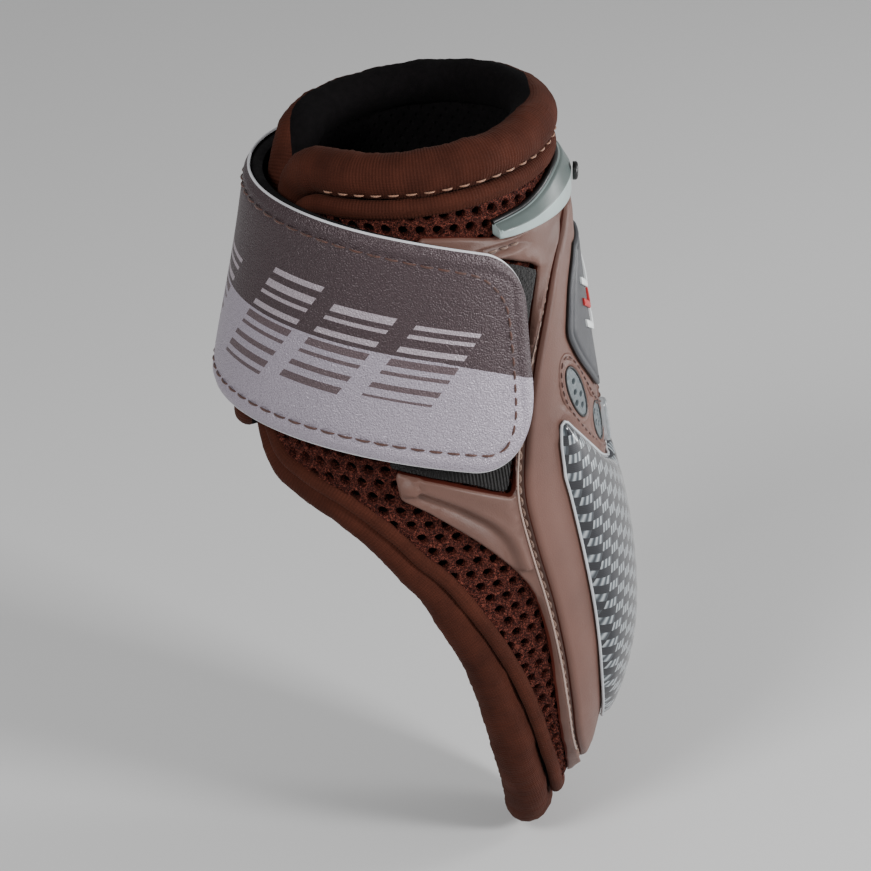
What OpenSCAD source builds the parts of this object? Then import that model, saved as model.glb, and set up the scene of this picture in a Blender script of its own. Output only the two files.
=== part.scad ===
// Hind fetlock tendon boot: a padded wrap round the leg, a moulded shell down its back and one wide strap.
// Frame: millimetres, +Z up the leg, origin on the leg's axis just above the rim, shell's spine towards +X,
// opening towards -X. The near side, where the strap's tongue closes, is towards -Y.
// Every piece is laid out on the wrap's outer face by its angle round the leg, its depth below the origin
// and its height off that face.

/* [Wrap] */
// Depth of the tail trim's middle at the spine, from the origin
tail_depth = 204; // [200:1:206]
// Depth of the lower trim's middle at the front opening
front_depth = 87; // [85:1:89]
// Radius of the padded rolled trim at the rim and the tail
roll_r = 6; // [5.5:0.1:6]
// Radius of the rolled trim at the front and along the lower edge
front_roll_r = 4; // [3.6:0.1:4.2]
// Thickness of the neoprene liner
liner_thick = 3.7; // [3:0.1:3.7]
// Thickness of the spacer mesh
mesh_thick = 4; // [3:0.1:4]
// Angle of the near flap's front edge round the leg
near_edge = 159; // [155:1:160]
// Angle of the far flap's front edge round the leg
far_edge = 178; // [175:1:179]

/* [Shell] */
// Thickness of the moulded shell
shell_thick = 1.7; // [1.4:0.1:1.7]
// Thickness of the spine plate sewn on the shell
plate_thick = 1.3; // [1:0.1:1.3]
// Height of the strike guard's dome above its rim
dome = 4; // [3:0.1:4.5]
// Wall thickness of the strike guard
guard_wall = 1.5; // [1.2:0.1:1.6]

/* [Strap] */
// Width of the strap
strap_w = 59; // [54:1:60]
// Depth of the strap's middle line at the front
strap_depth = 46; // [45.5:0.5:48]
// Thickness of the strap's neoprene backing
backing_thick = 3.2; // [2.4:0.1:3.2]
// Thickness of the strap's face sheet
face_thick = 1.6; // [1.2:0.1:1.6]

/* [Hidden] */

// Heights off the wrap's outer face, which is also the outer face of the mesh
gap = 0.3;
roll_mid = -3.5;
tail_mid = -6.4;
binding_r = 2.3;
front_binding_r = 1.8;
binding_mid = -0.6;
liner_out = -mesh_thick - gap;
liner_in = liner_out - liner_thick;
shell_out = gap + shell_thick;
plate_in = shell_out + 0.3;
plate_out = plate_in + plate_thick;
trim_in = plate_out + 0.15;
collar_out = 4.6;
patch_out = 2;
hook_in = patch_out + 0.4;
hook_out = hook_in + 0.8;
strap_in = 3.6;
backing_out = strap_in + backing_thick;
face_in = backing_out + 0.2;
face_out = face_in + face_thick;

// Where the flaps and the strap's parts bend
flap_hinge = 106;
strap_hinge = 106;
tongue_hinge = 168;
hinge_gap = 0.4;
corner_r = 14;
mm_per_degree = PI / 180;

// Sections of the wrap's outer face: depth, then reach to the front, reach to the back and half width
SECTIONS = [
    [-4, 33.4, 33.4, 33.6],
    [8, 34.4, 34.5, 34.6],
    [50, 40, 39.4, 38.4],
    [95, 46, 46.2, 41.4],
    [145, 47, 50.6, 41],
    [178, 46.5, 46.6, 38.4],
    [206, 45, 37.5, 34]
];
// The lower trim's middle: angle, then depth. Its ends follow front_depth and tail_depth.
TAIL_LINE = [
    [0, tail_depth], [20, tail_depth - 3.5], [30, 195], [40, 187], [48.5, 178], [58, 163.5],
    [67, 148], [75.5, 134.5], [85.5, 121], [92.5, 115], [99, 109], [106, 104], [114, 99.9],
    [122, 97.4], [139, 92.8], [157, front_depth], [168, front_depth + 5], [182, front_depth + 12]
];
// The sewn groove between the shell and its spine plate: depth, then half angle
GROOVE = [
    [25, 10], [29, 17.5], [36, 28.5], [47, 37.5], [61, 46.5], [77, 53], [93, 56], [108, 53.6],
    [127, 48.6], [147, 43.4], [161, 38.5], [176, 30], [186, 17.5], [191, 6]
];
// Width in degrees of the shell's flange outside the groove, at each depth
FLANGE = [
    [25, 8], [36, 7], [42, 5.6], [50, 3.7], [58, 2.4], [70, 1.7], [88, 1.7], [96, 2.2], [110, 3.6],
    [124, 3.8], [135, 2.2], [150, 2.7], [168, 3.4], [176, 4], [186, 6.5], [195, 8]
];
// Depth of each row of the shell's grid along its spine
SHELL_ROWS = [
    25, 30, 35.5, 42, 49, 57, 66, 75, 85, 94.6, 102, 109, 116.5, 124,
    133, 142, 151, 160, 168, 176, 182, 188, 192, 194.8
];
// Rows and far end of the upper and the lower wing, then its edges: angle, then depth
UPPER_WING = [0, 2, 89];
UPPER_WING_TOP = [[18, 24.6], [40, 24.3], [58, 24.2], [72, 22.6], [89, 22]];
UPPER_WING_LOW = [[35, 35.5], [46, 32.5], [54, 30.5], [66, 29], [89, 28.5]];
LOWER_WING = [9, 13, 95];
LOWER_WING_TOP = [[58, 94.6], [72.7, 90.1], [82.1, 87.6], [95, 85]];
LOWER_WING_LOW = [[52.5, 125], [61.3, 114.5], [70.4, 105.2], [82.5, 97.5], [95, 92.6]];
// The hook-and-loop panel inside the shell's window: angle, then depth of its top and of its bottom
WINDOW_TOP = [[38, 36.4], [46, 33.8], [54, 31.8], [66, 30.1], [98, 29.6]];
WINDOW_LOW = [[38, 36.9], [44.4, 48.5], [51.2, 65], [55.8, 78], [59, 90], [60.2, 92.8], [72.7, 89], [98, 83.6]];
// The strike guard's edges: angle, then depth of its top and of its bottom
GUARD_TOP = [[0, 101], [13, 95.7], [22, 89.7], [33, 81], [36.5, 78.3], [38.2, 79.3], [39, 84]];
GUARD_LOW = [[0, 179], [8, 176], [15, 169.5], [21.7, 160], [26.1, 149], [31, 127.3], [36.7, 100.2], [39, 92]];
guard_half = 39;
// The badge's half angle at each depth
BADGE = [[36, 11], [43.6, 20.2], [53, 25.7], [57, 27], [61.8, 24.3], [66.6, 20.1], [71.9, 13.8], [77, 6.5], [79.5, 1.5]];
// The air intake collar: angle, then depth of its top and of its bottom
INTAKE_TOP = [[0, 14], [14, 14.2], [22, 15.2], [30, 16.7], [40.6, 18.8], [51.4, 20.2], [57.5, 21.3]];
INTAKE_LOW = [[0, 24], [20, 23.9], [40, 23.6], [57.5, 23.5]];
intake_half = 57.5;
// Vents in the spine plate: angle, depth, half angle, half height
VENTS = [[26, 73, 4.8, 7.4], [10.4, 86.5, 5, 5.8]];

function segment(line, x, i = 0) = i >= len(line) - 2 || x < line[i + 1][0] ? i : segment(line, x, i + 1);
function steepness(line, i, c) =
    let (a = max(i - 1, 0), b = min(i + 1, len(line) - 1))
    (line[b][c] - line[a][c]) / (line[b][0] - line[a][0]);
// Column c of a line of stations at x, on a smooth curve through them
function along(line, x, c = 1) =
    let (
        i = segment(line, x),
        h = line[i + 1][0] - line[i][0],
        u = (x - line[i][0]) / h,
        m0 = steepness(line, i, c) * h,
        m1 = steepness(line, i + 1, c) * h
    )
    (2 * u ^ 3 - 3 * u ^ 2 + 1) * line[i][c] + (u ^ 3 - 2 * u ^ 2 + u) * m0
    + (3 * u ^ 2 - 2 * u ^ 3) * line[i + 1][c] + (u ^ 3 - u ^ 2) * m1;

// The point at angle t round the leg, depth d and height off the wrap's outer face
function place(t, d, off) =
    let (front = along(SECTIONS, d, 1), back = along(SECTIONS, d, 2), side = along(SECTIONS, d, 3))
    [(back - front) / 2 + ((back + front) / 2 + off) * cos(t), (side + off) * sin(t), -d];

function rim_depth(t) = 7 - 4 * cos(t);
function tail_line(t) = along(TAIL_LINE, abs(t));
// Millimetres along the trim's middle for each degree, at depth d
function pitch(d) = mm_per_degree * (along(SECTIONS, d, 1) + roll_mid);
function tail_slope(t) = (tail_line(abs(t) + 0.5) - tail_line(abs(t) - 0.5)) / pitch(90);
function steeper(t) = sqrt(1 + tail_slope(t) ^ 2);
function mix(a, b, u) = a + (b - a) * u;
function eased(u) = let (v = min(max(u, 0), 1)) v * v * (3 - 2 * v);
function rounded(x, r) = x <= 0 ? 0 : r - sqrt(max(0, r ^ 2 - x ^ 2));
// Along the tail's trim, how full the roll is and how far it tucks in under the wrap
function tail_fullness(t) = eased((105 - abs(t)) / 60);
function tail_roll_r(t) = mix(front_roll_r, roll_r, tail_fullness(t));
function tail_binding_r(t) = front_binding_r;
function tail_roll_mid(t) = mix(roll_mid, tail_mid, eased((100 - abs(t)) / 80));
// How far inside the roll's middle the binding's middle runs, so that the two just clear each other
function beside(roll, mid, binding) = sqrt((roll + binding + 0.45) ^ 2 - (mid - binding_mid) ^ 2);
rim_beside = beside(roll_r, roll_mid, binding_r);
front_beside = beside(front_roll_r, roll_mid, front_binding_r);
function tail_beside(t) = beside(tail_roll_r(t), tail_roll_mid(t), tail_binding_r(t));
function lower_line(t, inset) = tail_line(t) - inset * steeper(t);

// The strap's middle line, which dips towards both of its ends
function strap_line(t) = strap_depth + 13 * (abs(180 - t) / 130) ^ 3;

// A closed solid between two grids of points with the same layout, the first one outside.
// Only the cells that keep says are filled.
module between(outer, inner, keep = function (i, j) true) {
    nu = len(outer);
    nv = len(outer[0]);
    points = [for (side = [outer, inner]) for (row = side) for (p = row) p];
    function at(side, i, j) = side * nu * nv + i * nv + j;
    function two(a, b, c, d) = [[a, b, c], [a, c, d]];
    function filled(i, j) = i >= 0 && j >= 0 && i < nu - 1 && j < nv - 1 && keep(i, j);
    function wall(i0, j0, i1, j1) = two(at(0, i0, j0), at(0, i1, j1), at(1, i1, j1), at(1, i0, j0));
    faces = [
        for (i = [0:nu - 2]) for (j = [0:nv - 2]) if (filled(i, j)) each concat(
            two(at(0, i, j), at(0, i, j + 1), at(0, i + 1, j + 1), at(0, i + 1, j)),
            two(at(1, i, j), at(1, i + 1, j), at(1, i + 1, j + 1), at(1, i, j + 1)),
            filled(i, j - 1) ? [] : wall(i, j, i + 1, j),
            filled(i, j + 1) ? [] : wall(i + 1, j + 1, i, j + 1),
            filled(i - 1, j) ? [] : wall(i, j + 1, i, j),
            filled(i + 1, j) ? [] : wall(i + 1, j, i + 1, j + 1)
        )
    ];
    polyhedron(points, faces);
}

// A layer whose grid is worked out from two functions of u and v, both from 0 to 1
module layer(angle, depth, inside, outside, nu, nv) {
    function grid(off) = [
        for (i = [0:nu]) [
            for (j = [0:nv])
                let (u = i / nu, v = j / nv, d = depth(u, v), t = angle(u, d))
                place(t, d, off)
        ]
    ];
    between(grid(outside), grid(inside));
}

// A closed tube through rings of points
module tube(rings) {
    sides = len(rings[0]);
    last = len(rings) - 1;
    points = [for (ring = rings) for (p = ring) p];
    walls = [
        for (i = [0:last - 1]) for (j = [0:sides - 1])
            let (a = i * sides + j, b = i * sides + (j + 1) % sides)
            each [[a, b + sides, b], [a, a + sides, b + sides]]
    ];
    caps = [[for (j = [0:sides - 1]) j], [for (j = [sides - 1:-1:0]) last * sides + j]];
    polyhedron(points, concat(walls, caps));
}

// One ring of a trim: its middle's angle and depth, and the way across it in the wrap's face
function trim_ring(t, d, across, down, r, mid, sides) = [
    for (j = [0:sides - 1])
        let (a = 360 * j / sides)
        place(t + across * r * sin(a) / pitch(d), d + down * r * sin(a), mid + r * cos(a))
];

// A trim that runs along the rim, or along the tail, between the two flaps.
// line, way, r and mid give its depth, steepness, radius and height off the face at each angle.
module spine_trim(line, way, r, mid, sides, count) {
    limit = flap_hinge - 0.6;
    tube([
        for (i = [0:count])
            let (t = mix(-limit, limit, i / count))
            trim_ring(t, line(t), 0, way(t), r(t), mid(t), sides)
    ]);
}

// A trim that runs round a flap: along the rim, down the front edge and back along the lower edge.
// inset and r go from one value at the rim to another at the front and the lower edge.
module flap_trim(edge, top_inset, front_inset, top_r, front_r, mid, sides) {
    start = flap_hinge + 0.6;
    bend_top = corner_r - mix(top_inset, front_inset, 0.5);
    bend_low = corner_r - front_inset;
    top = rim_depth(edge) + corner_r;
    low = tail_line(edge) - corner_r;
    function bend_at(d) = edge - corner_r / pitch(d);
    function part_r(u) = mix(top_r, front_r, eased(u));
    rings = concat(
        [
            for (i = [0:3])
                let (t = mix(start, bend_at(top), i / 4), inset = mix(top_inset, corner_r - bend_top, i / 4))
                trim_ring(t, rim_depth(t) + inset, 0, 1, part_r(i / 16), mid, sides)
        ],
        [
            for (k = [0:4])
                let (a = 22.5 * k, d = top - bend_top * cos(a), t = bend_at(top) + bend_top * sin(a) / pitch(top))
                trim_ring(t, d, -sin(a), cos(a), part_r(0.25 + k / 8), mid, sides)
        ],
        [
            for (i = [1:3])
                let (d = mix(top, low, i / 4), inset = mix(corner_r - bend_top, front_inset, i / 4))
                trim_ring(edge - inset / pitch(d), d, -1, 0, part_r(0.75 + i / 12), mid, sides)
        ],
        [
            for (a = [90:-22.5:0])
                let (t = bend_at(low) + bend_low * sin(a) / pitch(low))
                trim_ring(t, lower_line(t, front_inset) - bend_low * (1 - cos(a)),
                    -sin(a), -cos(a), front_r, mid, sides)
        ],
        [
            for (i = [1:5])
                let (t = mix(bend_at(low), start, i / 5))
                trim_ring(t, lower_line(t, front_inset), 0, -steeper(t), front_r, mid, sides)
        ]
    );
    tube(rings);
}

// A layer of the wrap between the flaps, inside the rim's trim by top_inset and the tail's by low_inset(t)
module spine_layer(top_inset, low_inset, inside, outside, nu, nv) {
    limit = flap_hinge - 0.6;
    layer(
        function (u, d) mix(-limit, limit, u),
        function (u, v)
            let (t = mix(-limit, limit, u))
            mix(rim_depth(t) + top_inset, lower_line(t, low_inset(t)), v),
        inside, outside, nu, nv
    );
}

// A layer of a flap, with its front corners rounded. Its columns crowd towards the front edge.
module flap_layer(edge, top_inset, front_inset, inside, outside, nu, nv) {
    start = flap_hinge + 0.6;
    bend = corner_r - front_inset;
    function crowded(u) = 1 - (1 - u) ^ 2;
    function nominal(u) = mix(start, edge - front_inset / pitch(50), crowded(u));
    function cut(u, d) =
        let (length = pitch(d) * (edge - start) - front_inset)
        rounded(crowded(u) * length - (length - bend), bend);
    layer(
        function (u, d) mix(start, edge - front_inset / pitch(d), crowded(u)),
        function (u, v) mix(
            rim_depth(nominal(u)) + top_inset + cut(u, 12),
            lower_line(nominal(u), front_inset) - cut(u, 80), v),
        inside, outside, nu, nv
    );
}

// A layer symmetric about the spine, from one half angle to the other, between two edges by angle
module spine_band(half, top, low, inside, outside, nu, nv) {
    layer(
        function (u, d) mix(-half, half, u),
        function (u, v)
            let (t = abs(mix(-half, half, u)))
            mix(along(top, t), along(low, t), v),
        inside, outside, nu, nv
    );
}

// A layer symmetric about the spine whose half angle is given by depth
module spine_shield(line, grow, inside, outside, nu, nv) {
    layer(
        function (u, d) mix(-1, 1, u) * (along(line, d) + grow),
        function (u, v) mix(line[0][0], line[len(line) - 1][0], v),
        inside, outside, nu, nv
    );
}

// A layer on the far side between two edges by angle
module side_panel(t0, t1, top, low, inside, outside, nu, nv) {
    layer(
        function (u, d) mix(t0, t1, u),
        function (u, v)
            let (t = mix(t0, t1, u))
            mix(along(top, t), along(low, t), v),
        inside, outside, nu, nv
    );
}

module near_side() {
    mirror([0, 1, 0]) children();
}

// A length of the strap, whose tongue end is rounded at both corners
module strap_length(t0, t1, inside, outside, margin, nu, nv, tip = false) {
    half = strap_w / 2 - margin;
    top_corner = [12, 12];
    low_corner = [18, 27];
    strap_pitch = mm_per_degree * 47;
    function crowded(u) = tip ? 1 - (1 - u) ^ 1.5 : u;
    function from_tip(u) = tip ? (t1 - t0) * (1 - crowded(u)) * strap_pitch : 999;
    function corner(size, s) = rounded(size[0] - s, size[0]) * size[1] / size[0];
    layer(
        function (u, d) mix(t0, t1, crowded(u)),
        function (u, v)
            let (t = mix(t0, t1, crowded(u)), s = from_tip(u), line = strap_line(t))
            mix(line - half + corner(top_corner, s), line + half - corner(low_corner, s), v),
        inside, outside, nu, nv
    );
}

module liner() color("#141214") spine_layer(
    roll_r + 0.4, function (t) tail_roll_r(t) + 0.4, liner_in, liner_out, 26, 8);
module air_mesh() color("#6b3a2c") spine_layer(
    rim_beside + binding_r + 0.5, function (t) tail_beside(t) + tail_binding_r(t) + 1, -mesh_thick, 0, 26, 8);

module rim_roll() color("#5a2b1a") spine_trim(
    function (t) rim_depth(t), function (t) 1, function (t) roll_r, function (t) roll_mid, 10, 24);
module tail_roll() color("#5a2b1a") spine_trim(
    function (t) tail_line(t), function (t) steeper(t),
    function (t) tail_roll_r(t), function (t) tail_roll_mid(t), 10, 32);
module rim_binding() color("#633220") spine_trim(
    function (t) rim_depth(t) + rim_beside, function (t) 1,
    function (t) binding_r, function (t) binding_mid, 8, 24);
module tail_binding() color("#633220") spine_trim(
    function (t) lower_line(t, tail_beside(t)), function (t) steeper(t),
    function (t) tail_binding_r(t), function (t) binding_mid, 8, 32);

// The shell is one grid: its middle, and the rows that carry on into the wings
module shell() {
    middle = 7;
    reach = 9;
    half = middle + reach;
    function edge(j) = max(along(GROOVE, SHELL_ROWS[j]), 3) + along(FLANGE, SHELL_ROWS[j]);
    function in_wing(wing, j) = j >= wing[0] && j <= wing[1];
    function wing_spot(s, j, wing, top, low) =
        let (t = mix(edge(j), wing[2], s), v = (j - wing[0]) / (wing[1] - wing[0]))
        [t, mix(along(top, t), along(low, t), v)];
    function spot(k, j) =
        k <= middle ? [edge(j) * k / middle, SHELL_ROWS[j]]
        : in_wing(UPPER_WING, j) ? wing_spot((k - middle) / reach, j, UPPER_WING, UPPER_WING_TOP, UPPER_WING_LOW)
        : in_wing(LOWER_WING, j) ? wing_spot((k - middle) / reach, j, LOWER_WING, LOWER_WING_TOP, LOWER_WING_LOW)
        : [edge(j), SHELL_ROWS[j]];
    function grid(off) = [
        for (i = [-half:half]) [
            for (j = [0:len(SHELL_ROWS) - 1])
                let (s = spot(abs(i), j))
                place(sign(i) * s[0], s[1], off)
        ]
    ];
    color("#70483d") between(grid(shell_out), grid(gap), function (i, j)
        (i >= reach && i < reach + 2 * middle)
        || (j >= UPPER_WING[0] && j < UPPER_WING[1])
        || (j >= LOWER_WING[0] && j < LOWER_WING[1]));
}

module spine_plate() color("#7a5145") spine_shield(GROOVE, -2, plate_in, plate_out, 14, 18);

// Height of the guard's dome, from 0 at its edges
function dome_height(t, v) = dome * (4 * v * (1 - v)) ^ 0.6 * max(0, 1 - (t / guard_half) ^ 2) ^ 0.6;
// A layer over the spine plate, within the guard's edges, that the dome lifts
module guard_layer(half, v0, v1, inside, outside, inside_lift) {
    cells = 8;
    rows = 10;
    function grid(off, lift) = [
        for (i = [-cells:cells]) [
            for (j = [0:rows])
                let (
                    t = half * sin(90 * i / cells),
                    v = mix(v0, v1, j / rows),
                    d = mix(along(GUARD_TOP, abs(t)), along(GUARD_LOW, abs(t)), v)
                )
                place(t, d, off + lift * dome_height(t, v))
        ]
    ];
    between(grid(outside, 1), grid(inside, inside_lift));
}
module strike_guard() color("#3c4048")
    guard_layer(guard_half, 0, 1, trim_in + 0.1, trim_in + 0.1 + guard_wall, 1);
module impact_pad() color("#c9a13b") guard_layer(28, 0.12, 0.88, trim_in, trim_in - 0.2, 0);
// A bright bead round the guard's edge, in two lengths that meet at the spine
module guard_rim() {
    bead_r = 0.8;
    clear = bead_r + 0.35;
    cells = 8;
    half = [for (i = [0:cells]) guard_half * sin(90 * i / cells)];
    edge = concat(
        [for (t = half) [t, along(GUARD_TOP, t)]],
        [for (i = [cells:-1:0]) [half[i], along(GUARD_LOW, half[i])]]
    );
    function run(i) =
        let (
            a = edge[max(i - 1, 0)],
            b = edge[min(i + 1, len(edge) - 1)],
            step = [(b[0] - a[0]) * pitch(edge[i][1]), b[1] - a[1]]
        )
        step / norm(step);
    color("#c7c9cb") for (side = [0, 1]) mirror([0, side, 0]) tube([
        for (i = [0:len(edge) - 1])
            let (
                way = [run(i)[1], -run(i)[0]],
                t = max(edge[i][0] + way[0] * clear / pitch(edge[i][1]), 0.3)
            )
            trim_ring(t, edge[i][1] + way[1] * clear,
                i == 0 || i == len(edge) - 1 ? 0 : way[0], i == 0 ? -1 : i == len(edge) - 1 ? 1 : way[1],
                bead_r, trim_in + bead_r + 0.1, 6)
    ]);
}

module badge() color("#45474b") spine_shield(BADGE, 0, trim_in, trim_in + 1.1, 8, 10);
// Three plain chevrons in relief
module badge_emblem() color("#dfe3e2") {
    for (d = [45, 51, 57]) layer(
        function (u, d) mix(-12, 12, u),
        function (u, v) d + 5 * (1 - abs(2 * u - 1)) + mix(0, 2, v),
        trim_in + 1.25, trim_in + 1.85, 4, 1
    );
}
module vent_insert(vent) {
    layer(
        function (u, d)
            let (v = (d - vent[1]) / vent[3])
            vent[0] + mix(-1, 1, u) * vent[2] * sqrt(max(0.06, 1 - v ^ 2)),
        function (u, v) vent[1] - vent[3] * cos(180 * v),
        trim_in, trim_in + 0.8, 4, 8
    );
}
module vent_inserts() color("#50565a") {
    for (side = [0, 1], vent = VENTS) mirror([0, side, 0]) vent_insert(vent);
}
module centre_window() color("#d6dadb") layer(
    function (u, d) mix(-3, 3, u), function (u, v) mix(84, 96, v), trim_in, trim_in + 2, 4, 4);
module air_intake() color("#98a3a1") spine_band(intake_half, INTAKE_TOP, INTAKE_LOW, gap, collar_out, 24, 2);
module intake_stud() color("#101112") {
    stud_r = 2.4;
    stud_depth = 19;
    face = along(SECTIONS, stud_depth, 2) + collar_out + 0.3;
    translate([face, 0, -stud_depth]) rotate([0, 90, 0]) cylinder(h = 1.3, r = stud_r, $fn = 48);
}

module window_panel() side_panel(38, 98, WINDOW_TOP, WINDOW_LOW, gap, patch_out, 16, 5);
module loop_patch() color("#1c1a1a") near_side() window_panel();
module anchor_patch() color("#1c1a1a") window_panel();

// The strap runs from the far side's anchor, round the front, to its tongue on the near side
strap_start = 60;
strap_end = 308;
slot = 0.45;
module strap_anchor_backing() color("#171516")
    strap_length(strap_start + 1, strap_hinge - slot, strap_in, backing_out, 0.8, 8, 4);
module strap_anchor_face() color("#8f8088")
    strap_length(strap_start, strap_hinge - slot, face_in, face_out, 0, 8, 4);
module strap_front_backing() color("#171516")
    strap_length(strap_hinge + slot, tongue_hinge - slot, strap_in, backing_out, 0.8, 10, 4);
module strap_front_face() color("#8f8088")
    strap_length(strap_hinge + slot, tongue_hinge - slot, face_in, face_out, 0, 10, 4);
module strap_tongue_backing() color("#171516")
    strap_length(tongue_hinge + slot, strap_end - 1, strap_in, backing_out, 0.8, 26, 4, true);
module strap_tongue_face() color("#8f8088")
    strap_length(tongue_hinge + slot, strap_end, face_in, face_out, 0, 26, 4, true);
module hook_patch() color("#232122")
    layer(
        function (u, d) mix(268, 298, u), function (u, v) mix(34, 74, v), hook_in, hook_out, 8, 3);

module flap_liner(edge) color("#141214")
    flap_layer(edge, roll_r + 0.6, front_roll_r + 1.6, liner_in, liner_out, 12, 6);
module flap_mesh(edge) color("#6b3a2c")
    flap_layer(edge, rim_beside + binding_r + 0.6, front_beside + front_binding_r + 1.4, -mesh_thick, 0, 12, 6);
module flap_roll(edge) color("#5a2b1a")
    flap_trim(edge, 0, 0, roll_r, front_roll_r, roll_mid, 10);
module flap_binding(edge) color("#633220")
    flap_trim(edge, rim_beside, front_beside, binding_r, front_binding_r, binding_mid, 8);

module near_flap_liner() near_side() flap_liner(near_edge);
module near_flap_mesh() near_side() flap_mesh(near_edge);
module near_flap_roll() near_side() flap_roll(near_edge);
module near_flap_binding() near_side() flap_binding(near_edge);
module far_flap_liner() flap_liner(far_edge);
module far_flap_mesh() flap_mesh(far_edge);
module far_flap_roll() flap_roll(far_edge);
module far_flap_binding() flap_binding(far_edge);

liner();
air_mesh();
rim_roll();
tail_roll();
rim_binding();
tail_binding();
shell();
spine_plate();
strike_guard();
guard_rim();
impact_pad();
badge();
badge_emblem();
vent_inserts();
centre_window();
air_intake();
intake_stud();
loop_patch();
anchor_patch();
strap_anchor_backing();
strap_anchor_face();
near_flap_liner();
near_flap_mesh();
near_flap_roll();
near_flap_binding();
far_flap_liner();
far_flap_mesh();
far_flap_roll();
far_flap_binding();
strap_front_backing();
strap_front_face();
strap_tongue_backing();
strap_tongue_face();
hook_patch();
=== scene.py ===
import bpy
import math
import numpy as np
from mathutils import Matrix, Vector
from mathutils.geometry import delaunay_2d_cdt


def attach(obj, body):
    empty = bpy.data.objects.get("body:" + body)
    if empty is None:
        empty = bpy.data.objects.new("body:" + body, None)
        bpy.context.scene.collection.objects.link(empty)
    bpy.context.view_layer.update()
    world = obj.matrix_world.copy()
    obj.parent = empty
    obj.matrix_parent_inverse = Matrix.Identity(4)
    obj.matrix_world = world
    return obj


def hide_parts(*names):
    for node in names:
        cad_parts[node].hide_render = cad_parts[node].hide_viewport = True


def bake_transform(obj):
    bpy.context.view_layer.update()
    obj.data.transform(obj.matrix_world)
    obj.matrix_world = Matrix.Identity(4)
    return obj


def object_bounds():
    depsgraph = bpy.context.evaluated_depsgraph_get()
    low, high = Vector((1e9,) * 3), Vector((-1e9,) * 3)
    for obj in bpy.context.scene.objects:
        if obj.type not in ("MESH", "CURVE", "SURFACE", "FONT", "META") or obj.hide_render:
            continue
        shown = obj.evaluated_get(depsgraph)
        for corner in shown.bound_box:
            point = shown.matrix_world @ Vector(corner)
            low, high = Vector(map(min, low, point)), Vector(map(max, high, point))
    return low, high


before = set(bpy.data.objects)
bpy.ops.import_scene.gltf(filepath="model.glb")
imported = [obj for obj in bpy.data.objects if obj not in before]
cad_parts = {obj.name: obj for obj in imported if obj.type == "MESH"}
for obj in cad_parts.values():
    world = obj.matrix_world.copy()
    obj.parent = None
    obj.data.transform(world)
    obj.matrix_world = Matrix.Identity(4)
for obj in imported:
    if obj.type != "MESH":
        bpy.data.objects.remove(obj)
cad_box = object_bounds()
scene = bpy.context.scene
MM = 0.001
DEG = math.pi / 180

# ---------------------------------------------------------------- camera
ELEVATION = math.radians(26)
TARGET = Vector((0, 0, -0.095))
lens = bpy.data.cameras.new("Camera")
camera = bpy.data.objects.new("Camera", lens)
scene.collection.objects.link(camera)
camera.location = TARGET + Vector((0, -math.cos(ELEVATION), math.sin(ELEVATION))) * 1.2
camera.rotation_euler = (math.pi / 2 - ELEVATION, 0, 0)
lens.sensor_width = 36
lens.lens = 187.15
lens.shift_x = 0.0235
lens.clip_end = 10
scene.camera = camera

# ---------------------------------------------------------------- the boot's shape, in mm and degrees
# Same layout as the CAD: angle t round the leg, depth d below the origin, height off the wrap's face.
SECTIONS = [
    [-4, 33.4, 33.4, 33.6], [8, 34.4, 34.5, 34.6], [50, 40, 39.4, 38.4], [95, 46, 46.2, 41.4],
    [145, 47, 50.6, 41], [178, 46.5, 46.6, 38.4], [206, 45, 37.5, 34]]
TAIL_LINE = [
    [0, 204], [20, 200.5], [30, 195], [40, 187], [48.5, 178], [58, 163.5],
    [67, 148], [75.5, 134.5], [85.5, 121], [92.5, 115], [99, 109], [106, 104], [114, 99.9],
    [122, 97.4], [139, 92.8], [157, 87], [168, 92], [182, 99]]
GROOVE = [
    [25, 10], [29, 17.5], [36, 28.5], [47, 37.5], [61, 46.5], [77, 53], [93, 56], [108, 53.6],
    [127, 48.6], [147, 43.4], [161, 38.5], [176, 30], [186, 17.5], [191, 6]]
FLANGE = [
    [25, 8], [36, 7], [42, 5.6], [50, 3.7], [58, 2.4], [70, 1.7], [88, 1.7], [96, 2.2], [110, 3.6],
    [124, 3.8], [135, 2.2], [150, 2.7], [168, 3.4], [176, 4], [186, 6.5], [195, 8]]
WINDOW_EDGE = [[35, 35.2], [41.7, 39.1], [49, 42.7], [56.5, 46.1], [69, 50.6], [79.6, 54.3], [87.6, 56.4], [94.6, 57.9]]
UPPER_TOP = [[18, 24.6], [40, 24.3], [58, 24.2], [72, 22.6], [89, 22]]
UPPER_LOW = [[35, 35.5], [46, 32.5], [54, 30.5], [66, 29], [89, 28.5]]
LOWER_TOP = [[57.9, 94.6], [72.7, 90.1], [82.1, 87.6], [95, 85]]
LOWER_LOW = [[52.5, 125], [61.3, 114.5], [70.4, 105.2], [82.5, 97.5], [95, 92.6]]
WINDOW_TOP = [[38, 36.4], [46, 33.8], [54, 31.8], [66, 30.1], [98, 29.6]]
WINDOW_LOW = [[38, 36.9], [44.4, 48.5], [51.2, 65], [55.8, 78], [59, 90], [60.2, 92.8], [72.7, 89], [98, 83.6]]
GUARD_TOP = [[0, 101], [13, 95.7], [22, 89.7], [33, 81], [36.5, 78.3], [38.2, 79.3], [39, 84]]
GUARD_LOW = [[0, 179], [8, 176], [15, 169.5], [21.7, 160], [26.1, 149], [31, 127.3], [36.7, 100.2], [39, 92]]
BADGE = [[36, 11], [43.6, 20.2], [53, 25.7], [57, 27], [61.8, 24.3], [66.6, 20.1], [71.9, 13.8], [77, 6.5], [79.5, 1.5]]
INTAKE_TOP = [[0, 14], [14, 14.2], [22, 15.2], [30, 16.7], [40.6, 18.6], [51.4, 19.7], [57.5, 20.4]]
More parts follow.
